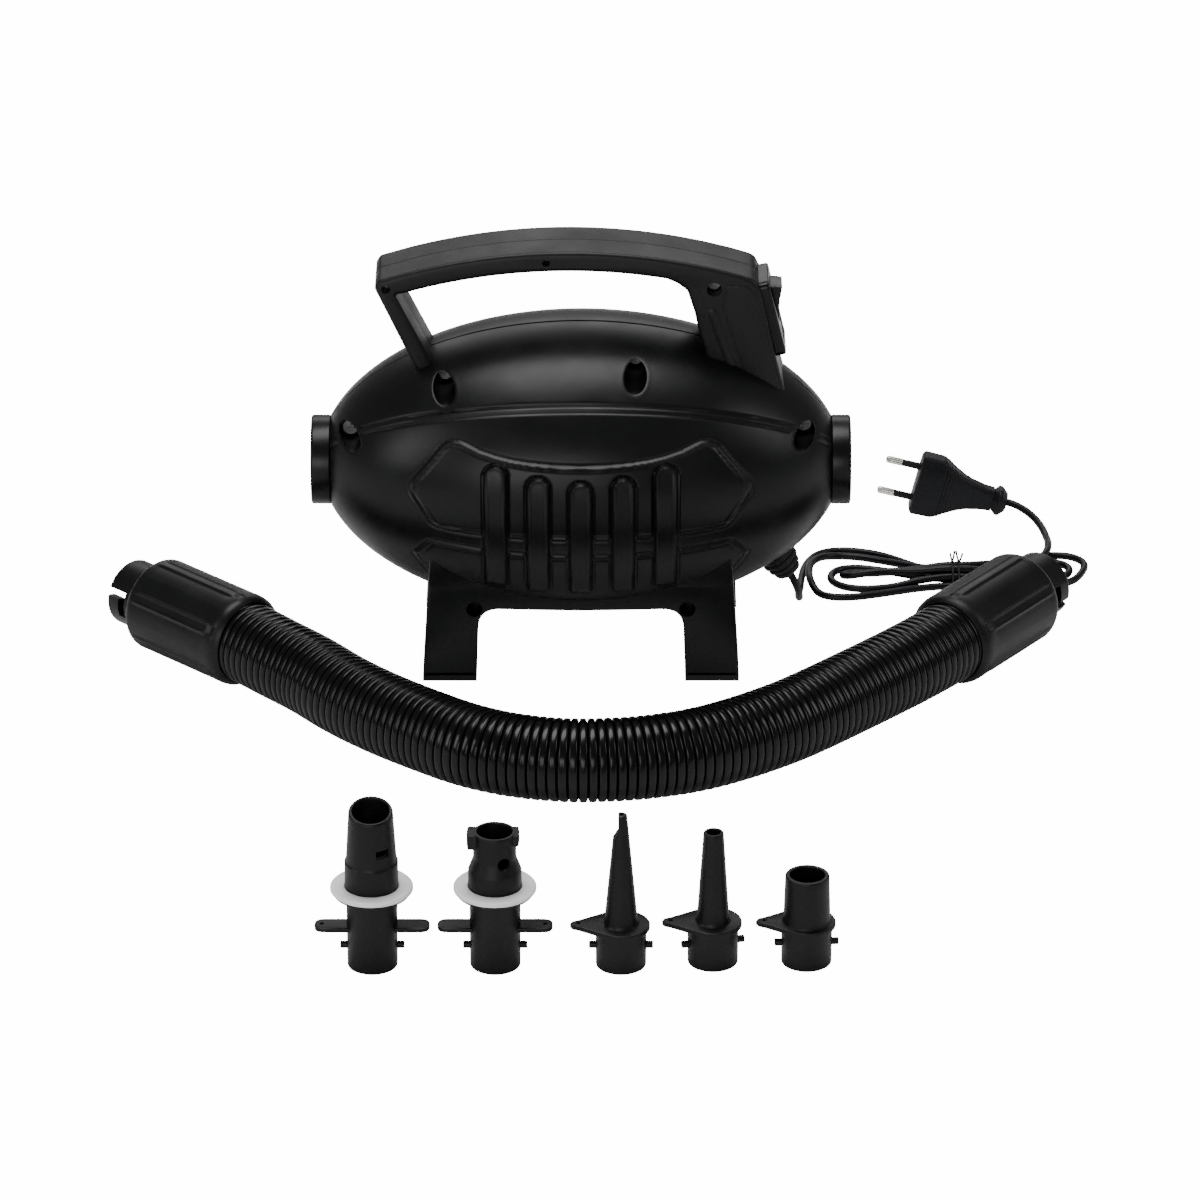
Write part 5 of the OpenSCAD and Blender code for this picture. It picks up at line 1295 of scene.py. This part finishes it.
def wide_parts():
    """Nozzle with a tether plate and a short wide tube."""
    z = np.concatenate([[SHORT_BASE, 22.6, 23.4], np.linspace(26, 46, 8), [46.5, 46.85, 47.0]])
    r = np.interp(z, [SHORT_BASE, 22.6, 23.4, 46, 46.5, 46.85, 47],
                  [12.0, 11.6, 11.4, 10.7, 10.6, 10.35, 10.0])
    ri = np.interp(z, [SHORT_BASE, 46.6, 47], [9.2, 8.4, 8.7])
    return nozzle_base(SHORT_BASE, 3) + [tether_plate(), pierced_tube(z, r, ri)]


def gasket():
    """Soft ring with rounded edges, a surface of revolution."""
    bore_r, low, high = 13.1, 40.5, 43.1
    profile = [(bore_r, low), (19.4, low), (20.0, 41.2), (20.0, 42.4), (19.4, high), (bore_r, high)]
    return lathe(rounded(profile, 0.5, 4), 128)


def bezel():
    """Switch surround in the plane of its face: a rounded plate with a long hole for the
    rocker."""
    half_w, half_h, hole_w, hole_h, thick = 15, 21, 8, 16.1, 5.35
    outline = rounded([(-half_w, -half_h), (half_w, -half_h), (half_w, half_h), (-half_w, half_h)],
                      [4.0] * 4, 8)
    hole = rounded([(-hole_w, -hole_h), (hole_w, -hole_h), (hole_w, hole_h), (-hole_w, hole_h)],
                   [1.2] * 4, 4)
    part = plate(outline, -thick, 0.0, 0.2, 1.3, [(hole, None)], 6)
    return placed(part, (0, 0, 0), (0, 1, 0), (0, 0, 1), (1, 0, 0))


def rocker():
    """Rocker in profile, swept across its width: a hollow top between two raised ends, each with a
    bead."""
    half, half_w, foot = 15.6, 7.5, -2.4
    z = np.linspace(-half, half, 49)
    top = 2.9 + 2.0 * np.abs(z / half) ** 2.2
    bead = sum(0.32 * bump((z - at) / 0.55) for at in (-12.6, 12.6, -10.4, 10.4))
    top = np.minimum(top + bead, np.sqrt(np.clip(half * half - z * z, 0.01, None)) + 0.6)
    outline = np.vstack([np.stack([top, z], 1), [[foot, half], [foot, -half]]])
    part = plate(outline, -half_w, half_w, 0.5, 0.5, (), 3)
    return upright(part)


# ================= operators, one for each group of pieces =================

class PUMP_OT_stage(bpy.types.Operator):
    """Adds the floor, the pale world, five soft lights and the camera."""
    bl_idname = "pump.stage"
    bl_label = "Stage and camera"

    def execute(self, context):
        scene = context.scene
        looks = scene.pump_looks
        mesh = bpy.data.meshes.new("floor")
        far = FLOOR_HALF
        mesh.from_pydata([(-far, -far, 0), (far, -far, 0), (far, far, 0), (-far, far, 0)], [],
                         [(0, 1, 2, 3)])
        floor = bpy.data.objects.new("floor", mesh)
        scene.collection.objects.link(floor)
        paper = bpy.data.materials.new("floor")
        paper.use_nodes = True
        nodes, links = paper.node_tree.nodes, paper.node_tree.links
        nodes.clear()
        out = nodes.new("ShaderNodeOutputMaterial")
        out.label, out.location = "Surface", (400, 0)
        overlit = nodes.new("NodeFrame")
        overlit.label = "Overlit to the eye"
        matt = nodes.new("ShaderNodeBsdfDiffuse")
        matt.label, matt.location = "White paper", (0, 0)
        matt.inputs["Color"].default_value = (*looks.floor_colour, 1.0)
        glow = nodes.new("ShaderNodeEmission")
        glow.label, glow.location, glow.parent = "Overlit white", (0, -160), overlit
        glow.inputs["Strength"].default_value = looks.backdrop_strength
        seen = nodes.new("ShaderNodeLightPath")
        seen.label, seen.location, seen.parent = "Seen straight on", (-200, 260), overlit
        share = nodes.new("ShaderNodeMath")
        share.operation = "MULTIPLY"
        share.label, share.location, share.parent = "How far it is overlit", (0, 200), overlit
        share.inputs[1].default_value = 0.94
        blend = nodes.new("ShaderNodeMixShader")
        blend.label, blend.location = "Paper under bright light", (200, 0)
        links.new(seen.outputs["Is Camera Ray"], share.inputs[0])
        links.new(share.outputs["Value"], blend.inputs["Fac"])
        links.new(matt.outputs["BSDF"], blend.inputs[1])
        links.new(glow.outputs["Emission"], blend.inputs[2])
        links.new(blend.outputs["Shader"], out.inputs["Surface"])
        mesh.materials.append(paper)

        world = bpy.data.worlds.new("pale")
        world.use_nodes = True
        nodes, links = world.node_tree.nodes, world.node_tree.links
        backdrop = next(n for n in nodes if n.type == "BACKGROUND")
        backdrop.inputs["Color"].default_value = (1.0, 1.0, 1.0, 1.0)
        seen = nodes.new("ShaderNodeLightPath")
        seen.label, seen.location = "Seen straight on", (-400, 0)
        level = nodes.new("ShaderNodeMapRange")
        level.label, level.location = "Soft fill to overlit white", (-200, 0)
        level.inputs["To Min"].default_value = WORLD_FILL
        level.inputs["To Max"].default_value = looks.backdrop_strength
        links.new(seen.outputs["Is Camera Ray"], level.inputs["Value"])
        links.new(level.outputs["Result"], backdrop.inputs["Strength"])
        scene.world = world
        for name, place, aim, size, power in LIGHTS:
            lamp = bpy.data.lights.new(name, "AREA")
            lamp.shape = "RECTANGLE"
            lamp.size, lamp.size_y = size
            lamp.energy = power
            light = bpy.data.objects.new(name, lamp)
            light.location = place
            way = np.array(aim) - np.array(place)
            way /= np.linalg.norm(way)
            heading = math.atan2(way[1], way[0]) - math.pi / 2
            light.rotation_euler = (math.acos(-way[2]), 0.0, heading)
            scene.collection.objects.link(light)
        lens = bpy.data.cameras.new("camera")
        lens.lens = 230.8
        lens.sensor_width = 36.0
        lens.clip_end = 100.0
        camera = bpy.data.objects.new("camera", lens)
        camera.location = (0.00988, -3.6393, 1.7624)
        camera.rotation_euler = (math.radians(64.4), 0.0, 0.0)
        scene.collection.objects.link(camera)
        scene.camera = camera
        return {"FINISHED"}


class PUMP_OT_mains_cord(bpy.types.Operator):
    """Adds the mains cord, its wire tie and its two-pin plug."""
    bl_idname = "pump.mains_cord"
    bl_label = "Mains cord"

    def execute(self, context):
        diameter = context.scene.pump_cord.diameter
        path, run = smooth_route(CORD_START + HANK + CORD_END, 2.0)
        cord = make_piece("mains_cord", [tube(path, diameter / MM / 2, 20)], "cord_pvc", "root",
                          ("cord_from_pump", "cord_hank", "cord_to_plug"), 60.0)
        tie = make_piece("wire_tie", tie_wraps(), "tie_plastic", "root", ("cord_tie",), 60.0)
        head = make_piece("mains_plug", plug(), "plug_pvc", "root", ("plug_body",), 40.0)
        return {"FINISHED"}


class PUMP_OT_hose(bpy.types.Operator):
    """Adds the corrugated hose and the cuff on each of its ends."""
    bl_idname = "pump.hose"
    bl_label = "Hose and cuffs"

    def execute(self, context):
        sizes = context.scene.pump_hose
        part, path, run = hose_surface(sizes)
        cuffs = [make_piece(name + "_skin", [placed(p, place, *cuff_axes(heading)) for p in cuff()],
                            "cuff_plastic", "hose", (name,))
                 for name, (place, heading) in CUFFS.items()]
        hose = make_piece("hose_skin", [part], "hose_plastic", "hose", ("hose_tube",), 70.0)
        return {"FINISHED"}


class PUMP_OT_body(bpy.types.Operator):
    """Adds the two halves of the body, each with its ribs, panels, legs and skirt."""
    bl_idname = "pump.body"
    bl_label = "Body shells"

    def execute(self, context):
        sizes = context.scene.pump_body
        front = [shell_skin(sizes, False), *apron(sizes, False)]
        front += [recess_cup(*hole) for hole in RECESSES]
        make_piece("front_skin", front, "shell_plastic", "root", ("front_shell",), 30.0)
        back = [mirrored_y(part) for part in (shell_skin(sizes, True), *apron(sizes, True))]
        make_piece("back_skin", back, "shell_plastic", "root", ("back_shell",), 30.0)
        return {"FINISHED"}


class PUMP_OT_handle(bpy.types.Operator):
    """Adds the two halves of the arched handle."""
    bl_idname = "pump.handle"
    bl_label = "Handle"

    def execute(self, context):
        sizes = context.scene.pump_handle
        front = handle_half(sizes, True)
        make_piece("handle_front_skin", front, "handle_plastic", "root", ("handle_front",))
        back = [mirrored_y(part) for part in handle_half(sizes, False)]
        make_piece("handle_back_skin", back, "handle_plastic", "root", ("handle_back",))
        return {"FINISHED"}


class PUMP_OT_sockets(bpy.types.Operator):
    """Adds the air socket collar at each end, and the cord's strain relief."""
    bl_idname = "pump.sockets"
    bl_label = "Sockets and strain relief"

    def execute(self, context):
        for name, sign in (("inlet_collar", -1), ("outlet_collar", 1)):
            parts = [along_x(part, sign) for part in collar()]
            make_piece(name + "_skin", parts, "collar_plastic", "root", (name,))
        make_piece("strain_relief", [gland()], "gland_rubber", "root", ("cord_gland",))
        return {"FINISHED"}


class PUMP_OT_switch(bpy.types.Operator):
    """Adds the switch surround and the rocker in it."""
    bl_idname = "pump.switch"
    bl_label = "Switch"

    def execute(self, context):
        surround = switch_frame(bezel())
        make_piece("switch_surround", [surround], "switch_plastic", "root", ("switch_bezel",))
        cap = switch_frame(rocker(), ROCKER_TILT, PIVOT_DEPTH)
        make_piece("rocker_cap", [cap], "switch_plastic", "rocker", ("switch_rocker",))
        return {"FINISHED"}


class PUMP_OT_nozzles(bpy.types.Operator):
    """Adds the five push-in nozzles and the two gasket rings."""
    bl_idname = "pump.nozzles"
    bl_label = "Nozzles"

    def execute(self, context):
        makers = (("boston_nozzle", boston_parts, "boston_valve_adapter"),
                  ("lug_nozzle", lug_parts, "lug_valve_adapter"),
                  ("pinch_nozzle", pinch_parts, "pinch_valve_nozzle"),
                  ("taper_nozzle", taper_parts, "taper_nozzle_set"),
                  ("wide_nozzle", wide_parts, "wide_nozzle_set"))
        for (x, y), (name, maker, body) in zip(NOZZLES, makers):
            parts = [placed(part, (x, y, 0)) for part in maker()]
            make_piece(name + "_skin", parts, "nozzle_plastic", body, (name,))
        for (x, y), name, body in ((NOZZLES[0], "boston_gasket", "boston_valve_adapter"),
                                   (NOZZLES[1], "lug_gasket", "lug_valve_adapter")):
            make_piece(name + "_skin", [placed(gasket(), (x, y, 0))], "gasket_white", body, (name,))
        return {"FINISHED"}


class PUMP_OT_finish_parts(bpy.types.Operator):
    """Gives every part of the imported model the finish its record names."""
    bl_idname = "pump.finish_parts"
    bl_label = "Finish the inner parts"

    def execute(self, context):
        slots = {part["node"]: part["material_slot"] for part in frame["record"]["subparts"]}
        for name, node in frame["nodes"].items():
            node.data.materials.clear()
            node.data.materials.append(make_material(slots[name]))
        return {"FINISHED"}


class PUMP_PT_panel(bpy.types.Panel):
    """Sidebar panel with the pump's sizes, its colours and one button for each group of pieces."""
    bl_idname = "PUMP_PT_panel"
    bl_label = "Air Pump"
    bl_space_type = "VIEW_3D"
    bl_region_type = "UI"
    bl_category = "Air Pump"

    def draw(self, context):
        layout = self.layout
        for name, group in GROUPS:
            box = layout.box()
            for size in group.__annotations__:
                box.prop(getattr(context.scene, name), size)
        for operator in STEPS:
            layout.operator(operator.bl_idname)


GROUPS = (("pump_body", PumpBodySizes), ("pump_handle", PumpHandleSizes), ("pump_hose", PumpHoseSizes),
          ("pump_cord", PumpCordSizes), ("pump_looks", PumpLooks))
STEPS = (PUMP_OT_stage, PUMP_OT_mains_cord, PUMP_OT_hose, PUMP_OT_body, PUMP_OT_handle, PUMP_OT_sockets,
         PUMP_OT_switch, PUMP_OT_nozzles, PUMP_OT_finish_parts)


def register():
    """Adds the property groups, the operators and the panel."""
    for name, group in GROUPS:
        bpy.utils.register_class(group)
        setattr(bpy.types.Scene, name, bpy.props.PointerProperty(type=group))
    for step_class in STEPS:
        bpy.utils.register_class(step_class)
    bpy.utils.register_class(PUMP_PT_panel)


def unregister():
    """Takes them away again, in the opposite order."""
    bpy.utils.unregister_class(PUMP_PT_panel)
    for step_class in reversed(STEPS):
        bpy.utils.unregister_class(step_class)
    for name, group in reversed(GROUPS):
        delattr(bpy.types.Scene, name)
        bpy.utils.unregister_class(group)


def main():
    """Builds everything in order."""
    register()
    bpy.ops.pump.stage()
    bpy.ops.pump.mains_cord()
    bpy.ops.pump.hose()
    bpy.ops.pump.body()
    bpy.ops.pump.handle()
    bpy.ops.pump.sockets()
    bpy.ops.pump.switch()
    bpy.ops.pump.nozzles()
    bpy.ops.pump.finish_parts()


if __name__ == "__main__":
    main()
